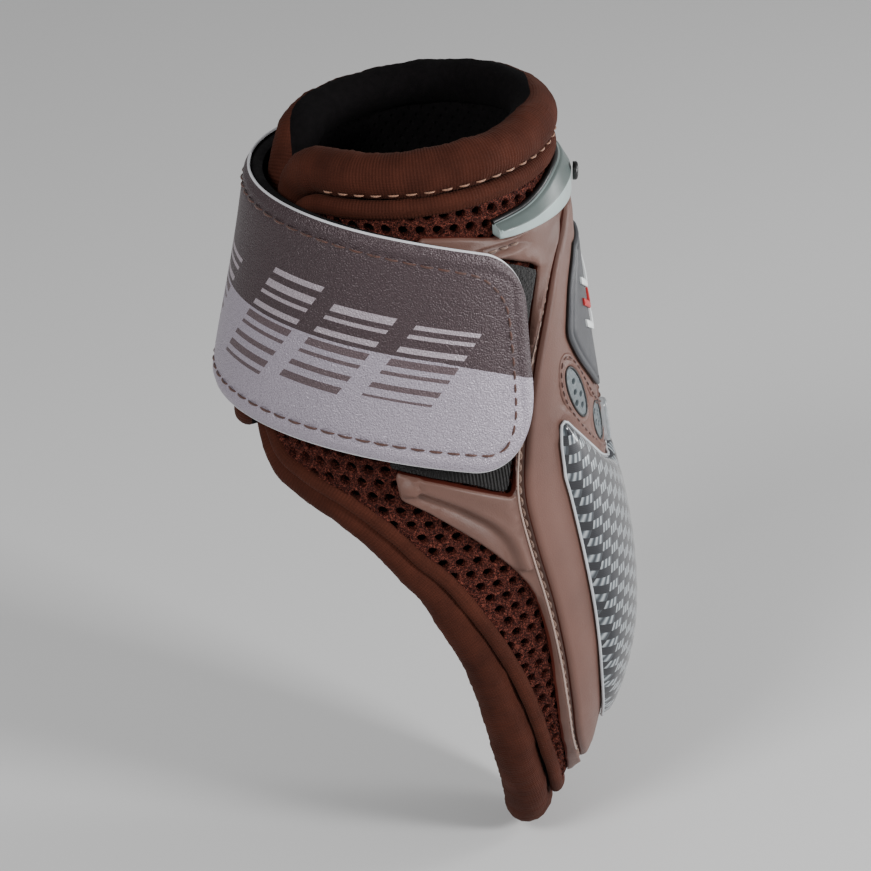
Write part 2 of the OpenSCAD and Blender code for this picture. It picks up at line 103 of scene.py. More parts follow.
INTAKE_LOW = [[0, 24], [20, 23.9], [40, 23.8], [57.5, 24.0]]
VENTS = [[26, 73, 4.8, 8.0], [10, 86.5, 5.6, 6.0]]
NEAR_EDGE = 159
FAR_EDGE = 178
CORNER = 14
STRAP_HALF = 29.5
STRAP_START = 60
STRAP_END = 308
GUARD_HALF = 39


def along(line, x, c=1):
    """Column c of a line of stations at x, on a smooth curve through them."""
    line = np.asarray(line, float)
    x = np.asarray(x, float)
    i = np.clip(np.searchsorted(line[:, 0], x, side="right") - 1, 0, len(line) - 2)
    a = np.maximum(np.arange(len(line)) - 1, 0)
    b = np.minimum(np.arange(len(line)) + 1, len(line) - 1)
    slope = (line[b, c] - line[a, c]) / (line[b, 0] - line[a, 0])
    h = line[i + 1, 0] - line[i, 0]
    u = (x - line[i, 0]) / h
    return ((2 * u**3 - 3 * u**2 + 1) * line[i, c] + (u**3 - 2 * u**2 + u) * slope[i] * h
            + (3 * u**2 - 2 * u**3) * line[i + 1, c] + (u**3 - u**2) * slope[i + 1] * h)


def place(t, d, off):
    """Points in metres at angle t, depth d and height off the wrap's outer face."""
    t, d, off = np.broadcast_arrays(np.asarray(t, float), np.asarray(d, float), np.asarray(off, float))
    front, back, side = along(SECTIONS, d, 1), along(SECTIONS, d, 2), along(SECTIONS, d, 3)
    return np.stack([
        (back - front) / 2 + ((back + front) / 2 + off) * np.cos(t * DEG),
        (side + off) * np.sin(t * DEG), -d], -1) * MM


def radius(d):
    return (along(SECTIONS, d, 1) + along(SECTIONS, d, 2) + 2 * along(SECTIONS, d, 3)) / 4


def flat(t, d):
    """The unrolled plane in mm."""
    return np.stack([np.asarray(t) * DEG * radius(d), np.asarray(d, float)], -1)


def rolled(p):
    return p[..., 0] / (DEG * radius(p[..., 1])), p[..., 1]


def normals(t, d):
    a = place(t + 0.05, d, 0) - place(t - 0.05, d, 0)
    b = place(t, d + 0.05, 0) - place(t, d - 0.05, 0)
    n = np.cross(b, a)
    n /= np.linalg.norm(n, axis=-1, keepdims=True)
    out = place(t, d, 1) - place(t, d, 0)
    return n * np.sign((n * out).sum(-1, keepdims=True))


def eased(u):
    v = np.clip(u, 0, 1)
    return v * v * (3 - 2 * v)


def mix(a, b, u):
    return a + (b - a) * u


def rim_depth(t):
    return 7 - 4 * np.cos(np.asarray(t) * DEG)


def fillet(s, r):
    """A rounded edge's drop, from 1 at the edge to 0 at r mm in from it."""
    return 1 - np.sqrt(np.clip(1 - (1 - np.clip(s / r, 0, 1)) ** 2, 0, 1))


def band(t, top, low):
    """The outline between two lines over the same angles."""
    return np.vstack([np.stack([t, top], -1), np.stack([t, low], -1)[::-1]])


def wobble(x, y, seed=0.0):
    """A smooth bounded noise made of a few waves."""
    return (np.sin(x * 1.0 + 1.7 * np.sin(y * 0.7 + seed)) + np.sin(y * 1.3 + 1.3 * np.sin(x * 0.6 + seed * 2))
            + 0.6 * np.sin(x * 2.3 + y * 1.9 + seed)) / 2.6


# ---------------------------------------------------------------- mesh building
class Shape:
    """Collects vertices, faces, a material index for each face and a uv for each vertex, both in mm."""

    def __init__(self):
        self.v, self.f, self.m, self.uv, self.n = [], [], [], [], 0

    def add(self, verts, faces, mat=0, uv=None):
        verts = np.asarray(verts, float).reshape(-1, 3)
        self.v.append(verts)
        self.uv.append(np.zeros((len(verts), 2)) if uv is None else np.asarray(uv, float).reshape(-1, 2))
        faces = np.asarray(faces) + self.n
        self.f.extend(faces.tolist())
        self.m.extend([mat] * len(faces) if np.isscalar(mat) else list(mat))
        self.n += len(verts)

    def merge(self, part, mat=0):
        """Takes up another shape's faces, all with one material."""
        self.v += part.v
        self.uv += part.uv
        self.f += [[i + self.n for i in f] for f in part.f]
        self.m += [mat] * len(part.f)
        self.n += part.n

    def grid(self, pts, mat=0, uv=None, wrap=False, flip=False):
        nu, nv = pts.shape[:2]
        i, j = np.meshgrid(np.arange(nu - 1), np.arange(nv if wrap else nv - 1), indexing="ij")
        k = (j + 1) % nv
        q = np.stack([i * nv + j, (i + 1) * nv + j, (i + 1) * nv + k, i * nv + k], -1).reshape(-1, 4)
        self.add(pts.reshape(-1, 3), q[:, ::-1] if flip else q, mat, uv)

    def build(self, name, materials, smooth=True):
        mesh = bpy.data.meshes.new(name)
        v = np.concatenate(self.v)
        mesh.from_pydata(v.tolist(), [], self.f)
        for m in materials:
            mesh.materials.append(m)
        mesh.polygons.foreach_set("material_index", np.array(self.m, np.int32))
        layer = mesh.uv_layers.new(name="UVMap")
        index = np.zeros(len(mesh.loops), np.int32)
        mesh.loops.foreach_get("vertex_index", index)
        layer.data.foreach_set("uv", (np.concatenate(self.uv)[index] * 0.01).ravel().astype(np.float32))
        mesh.polygons.foreach_set("use_smooth", np.full(len(mesh.polygons), smooth))
        mesh.validate()
        mesh.update()
        obj = bpy.data.objects.new(name, mesh)
        scene.collection.objects.link(obj)
        return obj


def resample(p, step, closed=False):
    """Points of a polyline in the unrolled plane, evenly spaced."""
    p = np.asarray(p, float)
    if closed:
        p = np.vstack([p, p[:1]])
    s = np.concatenate([[0], np.cumsum(np.linalg.norm(np.diff(p, axis=0), axis=1))])
    n = max(int(round(s[-1] / step)), 3)
    at = np.linspace(0, s[-1], n + 1)
    out = np.stack([np.interp(at, s, p[:, 0]), np.interp(at, s, p[:, 1])], -1)
    return out[:-1] if closed else out


def distance(q, line, closed=False):
    """How far each point is from a polyline."""
    a = line
    b = np.roll(line, -1, axis=0)
    if not closed:
        a, b = a[:-1], b[:-1]
    best = np.full(len(q), 1e9)
    ab = b - a
    ll = np.maximum((ab**2).sum(1), 1e-12)
    for k in range(0, len(q), 4000):
        part = q[k:k + 4000]
        w = np.clip(((part[:, None] - a) * ab).sum(-1) / ll, 0, 1)
        best[k:k + 4000] = np.sqrt((((part[:, None] - a) - w[..., None] * ab) ** 2).sum(-1)).min(1)
    return best


def inside(q, line):
    x, y = q[:, 0][:, None], q[:, 1][:, None]
    a, b = line, np.roll(line, -1, axis=0)
    cross = (a[:, 1] > y) != (b[:, 1] > y)
    dy = np.where(np.abs(b[:, 1] - a[:, 1]) < 1e-12, 1e-12, b[:, 1] - a[:, 1])
    return (cross & (x < (b[:, 0] - a[:, 0]) * (y - a[:, 1]) / dy + a[:, 0])).sum(1) % 2 == 1


def shifted(line, by, closed=True):
    """A polyline moved sideways, to its left for a positive distance."""
    if closed:
        way = np.roll(line, -1, axis=0) - np.roll(line, 1, axis=0)
    else:
        way = np.gradient(line, axis=0)
    way /= np.maximum(np.linalg.norm(way, axis=1, keepdims=True), 1e-9)
    return line + np.stack([way[:, 1], -way[:, 0]], -1) * np.asarray(by).reshape(-1, 1)


def signed_area(line):
    x, y = line[:, 0], line[:, 1]
    return 0.5 * np.sum(x * np.roll(y, -1) - np.roll(x, -1) * y)


def sheet_points(outline, spacing, rings, lines=()):
    """Triangles over an outline, with rows of points along its edge and along feature lines."""
    edge = outline if signed_area(outline) > 0 else outline[::-1]
    extra = [np.zeros((0, 2))]
    for r in rings:
        loop = shifted(edge, -r)
        extra.append(loop[(distance(loop, edge, True) > 0.93 * r) & inside(loop, edge)])
    for line, offsets in lines:
        for o in offsets:
            row = shifted(line, o, False)
            ok = inside(row, edge) & (distance(row, edge, True) > 0.4)
            extra.append(row[ok])
    low, high = edge.min(0), edge.max(0)
    ys = np.arange(low[1], high[1], spacing * 0.866)
    lattice = np.concatenate([
        np.stack([np.arange(low[0] + (k % 2) * spacing / 2, high[0], spacing),
                  np.full(len(np.arange(low[0] + (k % 2) * spacing / 2, high[0], spacing)), y)], -1)
        for k, y in enumerate(ys)])
    lattice = lattice[inside(lattice, edge)]
    far = (max(rings) if len(rings) else 0) + spacing * 0.5
    lattice = lattice[distance(lattice, edge, True) > far]
    for line, offsets in lines:
        keep = distance(lattice, line) > max(abs(o) for o in offsets) + spacing * 0.4
        lattice = lattice[keep]
    pts = np.vstack([edge] + extra + [lattice])
    # drops points that crowd one another
    key = np.round(pts / 0.12).astype(np.int64)
    first = np.sort(np.unique(key, axis=0, return_index=True)[1])
    first = np.union1d(first, np.arange(len(edge)))
    pts = pts[first]
    n = len(edge)
    out = delaunay_2d_cdt([Vector(p) for p in pts], [(i, (i + 1) % n) for i in range(n)],
                          [list(range(n))], 1, 1e-5)
    return np.array([tuple(p) for p in out[0]]), np.array([f for f in out[2] if len(f) == 3]), edge


def plate(name, outline, height, base, materials, spacing=1.3, rings=(0.3, 0.7, 1.2), lines=(), step=1.0,
          back=0, walls=1, shape=None, mirror=False, build=True):
    """A sheet over an outline in (t, d), raised to height(t, d, s), s being the distance to its edge."""
    ring = resample(flat(outline[:, 0], outline[:, 1]), step, True)
    q, tri, edge = sheet_points(ring, spacing, rings, lines)
    s = distance(q, edge, True)
    t, d = rolled(q)
    top = height(t, d, s)
    under = base(t, d, s) if callable(base) else np.full(len(t), float(base))
    shape = shape or Shape()
    for sign in ((1, -1) if mirror else (1,)):
        P0, P1 = place(t * sign, d, top), place(t * sign, d, under)
        uv = q * [sign, 1]
        a = P0[tri[:, 1]] - P0[tri[:, 0]]
        b = P0[tri[:, 2]] - P0[tri[:, 0]]
        up = np.cross(a, b)
        out = place(t * sign, d, top + 1)[tri[:, 0]] - P0[tri[:, 0]]
        turn = (up * out).sum(1).sum() < 0
        f = tri[:, ::-1] if turn else tri
        shape.add(P0, f, 0, uv)
        shape.add(P1, f[:, ::-1], back, uv)
        e = np.vstack([f[:, [0, 1]], f[:, [1, 2]], f[:, [2, 0]]])
        codes = e[:, 0].astype(np.int64) * len(q) + e[:, 1]
        other = e[:, 1].astype(np.int64) * len(q) + e[:, 0]
        rim = e[~np.isin(codes, other)]
        n = len(q)
        used = np.unique(rim)
        remap = np.full(n, -1)
        remap[used] = np.arange(len(used))
        r = remap[rim]
        m = len(used)
        shape.add(np.vstack([P0[used], P1[used]]),
                  np.stack([r[:, 1], r[:, 0], r[:, 0] + m, r[:, 1] + m], -1), walls, np.vstack([uv[used], uv[used]]))
    return shape.build(name, materials) if build else shape


def sweep(shape, centre, side, normal, r_side, r_normal, sides=12, mat=0, uv=None, caps=True, a0=0.0):
    """A tube through points, with its cross-section's two radii along side and normal."""
    a = np.linspace(0, 2 * math.pi, sides, endpoint=False) + a0
    ones = np.ones(len(centre))
    rs, rn = np.asarray(r_side) * ones, np.asarray(r_normal) * ones
    pts = (centre[:, None] + side[:, None] * (rs[:, None] * np.sin(a))[..., None] * MM
           + normal[:, None] * (rn[:, None] * np.cos(a))[..., None] * MM)
    length = np.concatenate([[0], np.cumsum(np.linalg.norm(np.diff(centre, axis=0), axis=1))]) / MM
    if uv is None:
        uv = np.stack(np.broadcast_arrays(length[:, None], (a * np.mean(rs))[None]), -1)
    shape.grid(pts, mat, uv, wrap=True)
    if caps:
        n = len(centre)
        for k, order in ((0, 1), (n - 1, -1)):
            ring = np.arange(sides)[::order]
            shape.add(pts[k], [ring.tolist()], mat if np.isscalar(mat) else int(mat[0]), np.zeros((sides, 2)))


def smooth_path(p, rounds=6):
    for _ in range(rounds):
        p = np.vstack([p[:1], (p[:-2] + 2 * p[1:-1] + p[2:]) / 4, p[-1:]])
    return p


def frame_of(t, d, off):
    """Centre points, sideways and outward directions along a path over the wrap."""
    c = place(t, d, off)
    n = normals(t, d)
    tangent = np.gradient(c, axis=0)
    tangent /= np.maximum(np.linalg.norm(tangent, axis=1, keepdims=True), 1e-12)
    n = n - tangent * (n * tangent).sum(1, keepdims=True)
    n /= np.linalg.norm(n, axis=1, keepdims=True)
    return c, np.cross(tangent, n), n


def stitches(shape, line, off, pitch=4.0, length=3.1, r=0.34, mat=0, lean=0.0, phase=0.5, sign=1):
    """Single stitches along a path in the unrolled plane, each dipping into its needle holes."""
    line = np.asarray(line, float)
    s = np.concatenate([[0], np.cumsum(np.linalg.norm(np.diff(line, axis=0), axis=1))])
    count = max(int(s[-1] / pitch), 1)
    gap = s[-1] / count
    prof_h = np.array([-0.45, -0.05, 0.12, 0.16, 0.12, -0.05, -0.45])
    prof_r = np.array([0.35, 0.85, 1.0, 1.05, 1.0, 0.85, 0.35])
    for k in range(count):
        mid = (k + phase) * gap
        at = mid + np.linspace(-0.5, 0.5, 7) * length
        at = np.clip(at, 0, s[-1])
        x = np.interp(at, s, line[:, 0])
        y = np.interp(at, s, line[:, 1]) + lean * np.linspace(-0.5, 0.5, 7)
        t, d = rolled(np.stack([x, y], -1))
        base = off(t, d) if callable(off) else off
        c, side, n = frame_of(t * sign, d, base + prof_h * r / 0.34)
        sweep(shape, c, side, n, r * prof_r, r * prof_r * 0.8, 6, mat)


# ---------------------------------------------------------------- materials
class Nodes:
    def __init__(self, name):
        self.mat = bpy.data.materials.new(name)
        self.mat.use_nodes = True
        self.tree = self.mat.node_tree
        self.bsdf = self.tree.nodes["Principled BSDF"]

    def new(self, kind, **settings):
        node = self.tree.nodes.new(kind)
        for key, value in settings.items():
            setattr(node, key, value)
        return node

    def link(self, a, b):
        self.tree.links.new(a, b)

    def math(self, op, a, b=None, c=None):
        node = self.new("ShaderNodeMath", operation=op)
        for k, x in enumerate((a, b, c)):
            if x is None:
                continue
            if isinstance(x, (int, float)):
                node.inputs[k].default_value = x
            else:
                self.link(x, node.inputs[k])
        return node.outputs[0]

    def add(self, a, b):
        return self.math("ADD", a, b)

    def sub(self, a, b):
        return self.math("SUBTRACT", a, b)

    def mul(self, a, b):
        return self.math("MULTIPLY", a, b)

    def div(self, a, b):
        return self.math("DIVIDE", a, b)

    def uv(self):
        """The piece's own coordinates in mm."""
        node = self.new("ShaderNodeUVMap", uv_map="UVMap")
        scale = self.new("ShaderNodeVectorMath", operation="SCALE")
        scale.inputs[3].default_value = 100
        self.link(node.outputs[0], scale.inputs[0])
        return scale.outputs[0]

    def obj(self):
        """Object coordinates in mm."""
        node = self.new("ShaderNodeTexCoord")
        scale = self.new("ShaderNodeVectorMath", operation="SCALE")
        scale.inputs[3].default_value = 1000
        self.link(node.outputs["Object"], scale.inputs[0])
        return scale.outputs[0]

    def split(self, vector):
        node = self.new("ShaderNodeSeparateXYZ")
        self.link(vector, node.inputs[0])
        return node.outputs[0], node.outputs[1], node.outputs[2]

    def noise(self, vector, scale, detail=2.0, rough=0.5):
        node = self.new("ShaderNodeTexNoise")
        node.inputs["Scale"].default_value = scale
        node.inputs["Detail"].default_value = detail
        node.inputs["Roughness"].default_value = rough
        self.link(vector, node.inputs["Vector"])
        return node.outputs["Fac"]

    def voronoi(self, vector, scale, feature="F1"):
        node = self.new("ShaderNodeTexVoronoi", feature=feature)
        node.inputs["Scale"].default_value = scale
        self.link(vector, node.inputs["Vector"])
        return node.outputs["Distance"]

    def ramp(self, value, stops):
        node = self.new("ShaderNodeValToRGB")
        while len(node.color_ramp.elements) < len(stops):
            node.color_ramp.elements.new(0.5)
        for e, (p, c) in zip(node.color_ramp.elements, stops):
            e.position = p
            e.color = (*c, 1) if len(c) == 3 else c
        self.link(value, node.inputs[0])
        return node.outputs[0]

    def mixed(self, fac, a, b, blend="MIX"):
        node = self.new("ShaderNodeMix", data_type="RGBA", blend_type=blend)
        for key, x in ((0, fac), (6, a), (7, b)):
            if isinstance(x, (int, float)):
                node.inputs[key].default_value = x
            elif isinstance(x, tuple):
                node.inputs[key].default_value = (*x, 1)
            else:
                self.link(x, node.inputs[key])
        return node.outputs[2]

    def bump(self, height, strength=0.5, distance=0.001, below=None):
        node = self.new("ShaderNodeBump")
        node.inputs["Strength"].default_value = strength
        node.inputs["Distance"].default_value = distance
        self.link(height, node.inputs["Height"])
        if below is not None:
            self.link(below, node.inputs["Normal"])
        self.link(node.outputs[0], self.bsdf.inputs["Normal"])
        return node.outputs[0]

    def color(self, c):
        if isinstance(c, tuple):
            self.bsdf.inputs["Base Color"].default_value = (*c, 1)
        else:
            self.link(c, self.bsdf.inputs["Base Color"])

    def set(self, **values):
        for key, value in values.items():
            self.bsdf.inputs[key.replace("_", " ")].default_value = value


def srgb(r, g, b):
    return tuple((x / 255 / 12.92) if x <= 10.3 else ((x / 255 + 0.055) / 1.055) ** 2.4 for x in (r, g, b))


def shade(c, k):
    return tuple(min(x * k, 1) for x in c)


def lycra(name, base):
    """Stretch knit: fine ribs across the trim over a soft mottle."""
    n = Nodes(name)
    u, v, _ = n.split(n.uv())
    rib = n.math("SINE", n.mul(u, 2 * math.pi / 0.85))
    cross = n.math("SINE", n.mul(v, 2 * math.pi / 0.7))
    knit = n.mul(n.add(rib, n.mul(cross, 0.45)), 0.5)
    soft = n.noise(n.obj(), 0.09, 3, 0.6)
    fine = n.noise(n.obj(), 2.2, 2, 0.6)
    tone = n.ramp(n.add(n.mul(soft, 0.75), n.mul(fine, 0.25)),
                  [(0.3, shade(base, 0.6)), (0.7, shade(base, 1.3))])
    n.color(n.mixed(n.mul(n.add(knit, 1), 0.2), tone, shade(base, 0.4)))
    first = n.bump(n.noise(n.obj(), 0.25, 3), 0.22, 0.0012)
    n.bump(knit, 0.4, 0.0003, first)
    n.set(Roughness=0.85, Sheen_Weight=0.03, Sheen_Roughness=0.45, Specular_IOR_Level=0.12)
    n.bsdf.inputs["Sheen Tint"].default_value = (0.8, 0.5, 0.4, 1)
    return n.mat


def spacer(name):
    """Warp-knitted spacer mesh: twisted filaments of two browns."""
    n = Nodes(name)
    p = n.obj()
    a = n.noise(p, 1.5, 3, 0.7)
    b = n.voronoi(p, 1.7)
    c = n.noise(p, 4.0, 2, 0.6)
    fac = n.add(n.mul(a, 0.55), n.mul(c, 0.45))
    n.color(n.ramp(fac, [(0.36, srgb(16, 5, 4)), (0.5, srgb(72, 28, 21)), (0.62, srgb(152, 82, 66))]))
    first = n.bump(b, 1.0, 0.0009)
    n.bump(n.add(a, c), 1.0, 0.0008, first)
    n.set(Roughness=0.75, Specular_IOR_Level=0.15)
    return n.mat


def neoprene(name, base, holes=0.0):
    """Black lining cloth with a faint mottle, and rows of tiny perforations where asked."""
    n = Nodes(name)
    p = n.obj()
    n.color(n.ramp(n.noise(p, 0.6, 3), [(0.35, shade(base, 0.7)), (0.7, shade(base, 1.5))]))
    first = n.bump(n.noise(p, 3.2, 2), 0.35, 0.0003)
    if holes:
        u, v, _ = n.split(n.uv())
        a = n.math("SINE", n.mul(n.add(u, v), math.pi / holes))
        b = n.math("SINE", n.mul(n.sub(u, v), math.pi / holes))
        dots = n.math("SMOOTH_MAX", n.sub(n.mul(n.math("ABSOLUTE", n.mul(a, b)), 1), 0.72), 0.0, 0.02)
        n.bump(n.mul(dots, -3.5), 0.8, 0.0008, first)
    n.set(Roughness=0.95, Sheen_Weight=0.0, Specular_IOR_Level=0.12)
    return n.mat


def plastic(name, base, rough=0.5, grain=0.25, coat=0.0, spec=0.5, wear=1.25):
    n = Nodes(name)
    p = n.obj()
    tone = n.ramp(n.noise(p, 0.05, 3, 0.55), [(0.3, shade(base, 0.86)), (0.7, shade(base, wear))])
    n.color(n.mixed(n.mul(n.noise(p, 3.0, 2), 0.25), tone, shade(base, 0.75)))
    n.bump(n.noise(p, 2.6, 3, 0.6), grain, 0.00025)
    rr = n.new("ShaderNodeMapRange")
    n.link(n.noise(p, 0.35, 3), rr.inputs[0])
    rr.inputs[3].default_value = rough - 0.07
    rr.inputs[4].default_value = rough + 0.08
    n.link(rr.outputs[0], n.bsdf.inputs["Roughness"])
    n.set(Specular_IOR_Level=spec, Coat_Weight=coat, Coat_Roughness=0.25)
    return n.mat


def thread(name, base):
    n = Nodes(name)
    p = n.obj()
    n.color(n.ramp(n.noise(p, 1.4, 2), [(0.3, shade(base, 0.6)), (0.7, shade(base, 1.35))]))
    n.bump(n.noise(p, 7.0, 2), 0.6, 0.0003)
    n.set(Roughness=0.6, Sheen_Weight=0.2)
    return n.mat


def carbon(name):
    """Woven blocks of dark and silver tows under a clear coat."""
    n = Nodes(name)
    u, v, _ = n.split(n.uv())
    x = n.div(n.add(u, n.mul(v, 0.14)), 3.3)
    y = n.div(n.sub(v, n.mul(n.math("ABSOLUTE", u), 0.12)), 2.6)
    i, j = n.math("FLOOR", x), n.math("FLOOR", y)
    fx, fy = n.math("FRACT", x), n.math("FRACT", y)
    over = n.math("LESS_THAN", n.math("MODULO", n.add(n.add(i, j), 400), 2.0), 0.5)
    # dark tows run across in flat blocks, silver ones run down between them in split strands
    fib_x = n.math("SINE", n.mul(fx, 2 * math.pi * 3))
    fib_y = n.math("SINE", n.mul(fy, 2 * math.pi * 5))
    gap_x = n.math("LESS_THAN", n.math("ABSOLUTE", n.sub(fx, 0.5)), 0.47)
    gap_y = n.math("LESS_THAN", n.math("ABSOLUTE", n.sub(fy, 0.5)), 0.46)
    bright = n.ramp(n.mul(n.add(fib_x, 1), 0.5),
                    [(0.05, srgb(52, 58, 64)), (0.6, srgb(122, 130, 136)), (1.0, srgb(176, 182, 186))])
    dark = n.ramp(n.mul(n.add(fib_y, 1), 0.5), [(0.1, srgb(8, 10, 18)), (0.9, srgb(24, 27, 38))])
    cell = n.mixed(over, bright, dark)
    seam = n.mul(gap_x, gap_y)
    n.color(n.mixed(seam, srgb(26, 28, 34), cell))
    bulge = n.add(n.mul(n.math("SINE", n.mul(fx, math.pi)), over),
                   n.mul(n.math("SINE", n.mul(fy, math.pi)), n.sub(1.0, over)))
    n.bump(bulge, 0.25, 0.0004)
    n.link(n.add(0.32, n.mul(over, 0.15)), n.bsdf.inputs["Roughness"])
    n.set(Metallic=0.3, Coat_Weight=1.0, Coat_Roughness=0.05, Specular_IOR_Level=0.5)
    return n.mat


def strap_face(name):
    """Two-tone grained sheet with slanted groups of pinstripes, light on the dark half and dark on the light."""
    n = Nodes(name)
    p = n.obj()
    u, v, _ = n.split(n.uv())
    dark, light = srgb(68, 53, 57), srgb(166, 157, 170)
    edge = n.add(0.4, n.mul(n.math("MAXIMUM", n.sub(u, 155), 0.0), 0.07))
    lower = n.math("GREATER_THAN", v, edge)
    base = n.mixed(lower, dark, light)
    # three leaning blocks of horizontal stripes, whose weight changes from row to row
    lean = n.add(u, n.mul(v, 0.62))
    cell = n.div(n.math("MODULO", n.add(lean, 50.0), 75.0), 22.0)
    number = n.math("FLOOR", cell)
    in_block = n.math("LESS_THAN", n.math("FRACT", cell), 0.76)
    some = n.mul(n.math("LESS_THAN", lean, 166.0), n.math("LESS_THAN", cell, 3.0))
    reach = n.math("ABSOLUTE", n.sub(v, 2.0))
    high = n.math("LESS_THAN", reach, n.sub(15.5, n.mul(number, 2.4)))
    row = n.div(n.add(v, 60.0), 3.6)
    weight = n.add(0.30, n.mul(n.math("MODULO", n.math("FLOOR", row), 3.0), 0.14))
    line = n.math("LESS_THAN", n.math("FRACT", row), weight)
    mask = n.mul(n.mul(in_block, some), n.mul(high, line))
    mark = n.mixed(lower, srgb(172, 160, 168), srgb(96, 80, 84))
    tone = n.mixed(mask, base, mark)
    speck = n.ramp(n.noise(p, 3.4, 2, 0.6),
                   [(0.34, (0.6, 0.59, 0.59)), (0.5, (0.95, 0.95, 0.95)), (0.66, (1.0, 1.0, 1.0))])
    n.color(n.mixed(1.0, tone, speck, "MULTIPLY"))
    grain = n.voronoi(p, 2.3, "SMOOTH_F1")
    first = n.bump(n.noise(p, 4.2, 2), 0.35, 0.0002)
    n.bump(n.sub(1.0, grain), 0.8, 0.0004, first)
    n.set(Roughness=0.4, Metallic=0.3, Specular_IOR_Level=0.6, Sheen_Weight=0.0)
    return n.mat


def pile(name):
    """Loop pile, and ribbed tape along its lower edge."""
    n = Nodes(name)
    p = n.obj()
    u, v, _ = n.split(n.uv())
    fuzz = n.noise(p, 2.2, 4, 0.75)
    loops = n.voronoi(p, 1.1)
    n.color(n.ramp(fuzz, [(0.35, srgb(12, 12, 12)), (0.55, srgb(30, 28, 28)), (0.75, srgb(62, 59, 59))]))
    rib = n.math("SINE", n.mul(u, 2 * math.pi / 0.85))
    tape = n.math("GREATER_THAN", v, 84.5)
    h = n.add(n.mul(n.add(fuzz, loops), n.sub(1.0, tape)), n.mul(rib, n.mul(tape, 0.8)))
    n.bump(h, 1.0, 0.0008)
    n.set(Roughness=0.9, Sheen_Weight=0.1, Sheen_Roughness=0.4)
    return n.mat


def hooks(name):
    n = Nodes(name)
    u, v, _ = n.split(n.uv())
    h = n.mul(n.math("SINE", n.mul(u, 2 * math.pi / 1.1)), n.math("SINE", n.mul(v, 2 * math.pi / 1.1)))
    n.color(n.ramp(n.mul(n.add(h, 1), 0.5), [(0.2, srgb(10, 10, 11)), (0.9, srgb(52, 50, 50))]))
    n.bump(h, 1.0, 0.0006)
    n.set(Roughness=0.55)
    return n.mat


def clear(name):
    n = Nodes(name)
    p = n.obj()
    n.color(n.ramp(n.noise(p, 0.4, 2), [(0.3, srgb(150, 156, 160)), (0.7, srgb(196, 202, 206))]))
    n.bump(n.noise(p, 0.8, 2), 0.08, 0.0003)
    n.set(Roughness=0.12, Transmission_Weight=0.55, IOR=1.46, Coat_Weight=0.6, Coat_Roughness=0.05)
    return n.mat


BROWN = srgb(66, 32, 22)
M = {
    "roll": lycra("trim_brown_knit", BROWN),
    "binding": lycra("binding_brown_knit", shade(BROWN, 1.12)),
    "black_knit": neoprene("lining_black_knit", srgb(7, 5, 6)),
    "lining": neoprene("lining_perforated", srgb(8, 6, 7), 4.2),
    "mesh": spacer("spacer_mesh_brown"),
    "mesh_under": neoprene("mesh_underlayer", srgb(4, 3, 3)),
    "shell": plastic("shell_matt_brown", srgb(98, 70, 61), 0.46, 0.3, spec=0.4, wear=1.12),
    "shell_wall": plastic("shell_red_brown_wall", srgb(78, 30, 20), 0.45, 0.12),
    "plate": plastic("plate_smooth_brown", srgb(101, 71, 62), 0.46, 0.28, spec=0.4, wear=1.12),
    # a lighter tone for the groove's lip: painted highlight
    "lip": plastic("groove_lip_painted_highlight", srgb(150, 126, 116), 0.22, 0.05, coat=0.5, spec=0.8),
    "collar": plastic("collar_satin_grey", srgb(158, 174, 172), 0.3, 0.08, coat=0.3),
    "collar_bevel": plastic("collar_bevel_grey", srgb(84, 94, 92), 0.36, 0.1, coat=0.1),
    "black": plastic("stud_black", srgb(18, 18, 19), 0.4, 0.1),
    "badge": plastic("badge_dark_grey", srgb(58, 59, 63), 0.42, 0.18),
    "relief": plastic("relief_pale", srgb(222, 226, 226), 0.35, 0.1),
    "accent": plastic("relief_red", srgb(176, 34, 34), 0.4, 0.1),
    "vent": plastic("vent_grey", srgb(84, 92, 96), 0.36, 0.15),
    "hole": plastic("vent_recess_black", srgb(8, 8, 9), 0.7, 0.1),
    "window": clear("window_smoked_clear"),
    "bead": plastic("guard_bead_silver", srgb(186, 190, 194), 0.2, 0.04, coat=0.6, spec=0.7),
    "carbon": carbon("guard_woven_carbon"),
    "foam": neoprene("impact_gel_foam", srgb(190, 150, 70)),
    "pile": pile("loop_pile_black"),
    "hooks": hooks("hook_tape_black"),
    "face": strap_face("strap_two_tone_face"),
    "cut": plastic("strap_cut_edge_silver", srgb(196, 196, 200), 0.38, 0.12),
    "backing": neoprene("strap_neoprene_backing", srgb(18, 17, 18)),
    "thread_brown": thread("thread_brown", srgb(74, 40, 30)),
    "thread_tan": thread("thread_tan", srgb(124, 98, 84)),
    "thread_dark": thread("thread_dark_brown", srgb(58, 40, 34)),
    "thread_pale": thread("thread_pale", srgb(146, 104, 80)),
    "thread_black": thread("thread_black", srgb(24, 22, 22)),
}


def finish(obj, nodes, body="boot"):
    if body:
        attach(obj, body)
    if nodes:
        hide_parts(*nodes)
    return obj


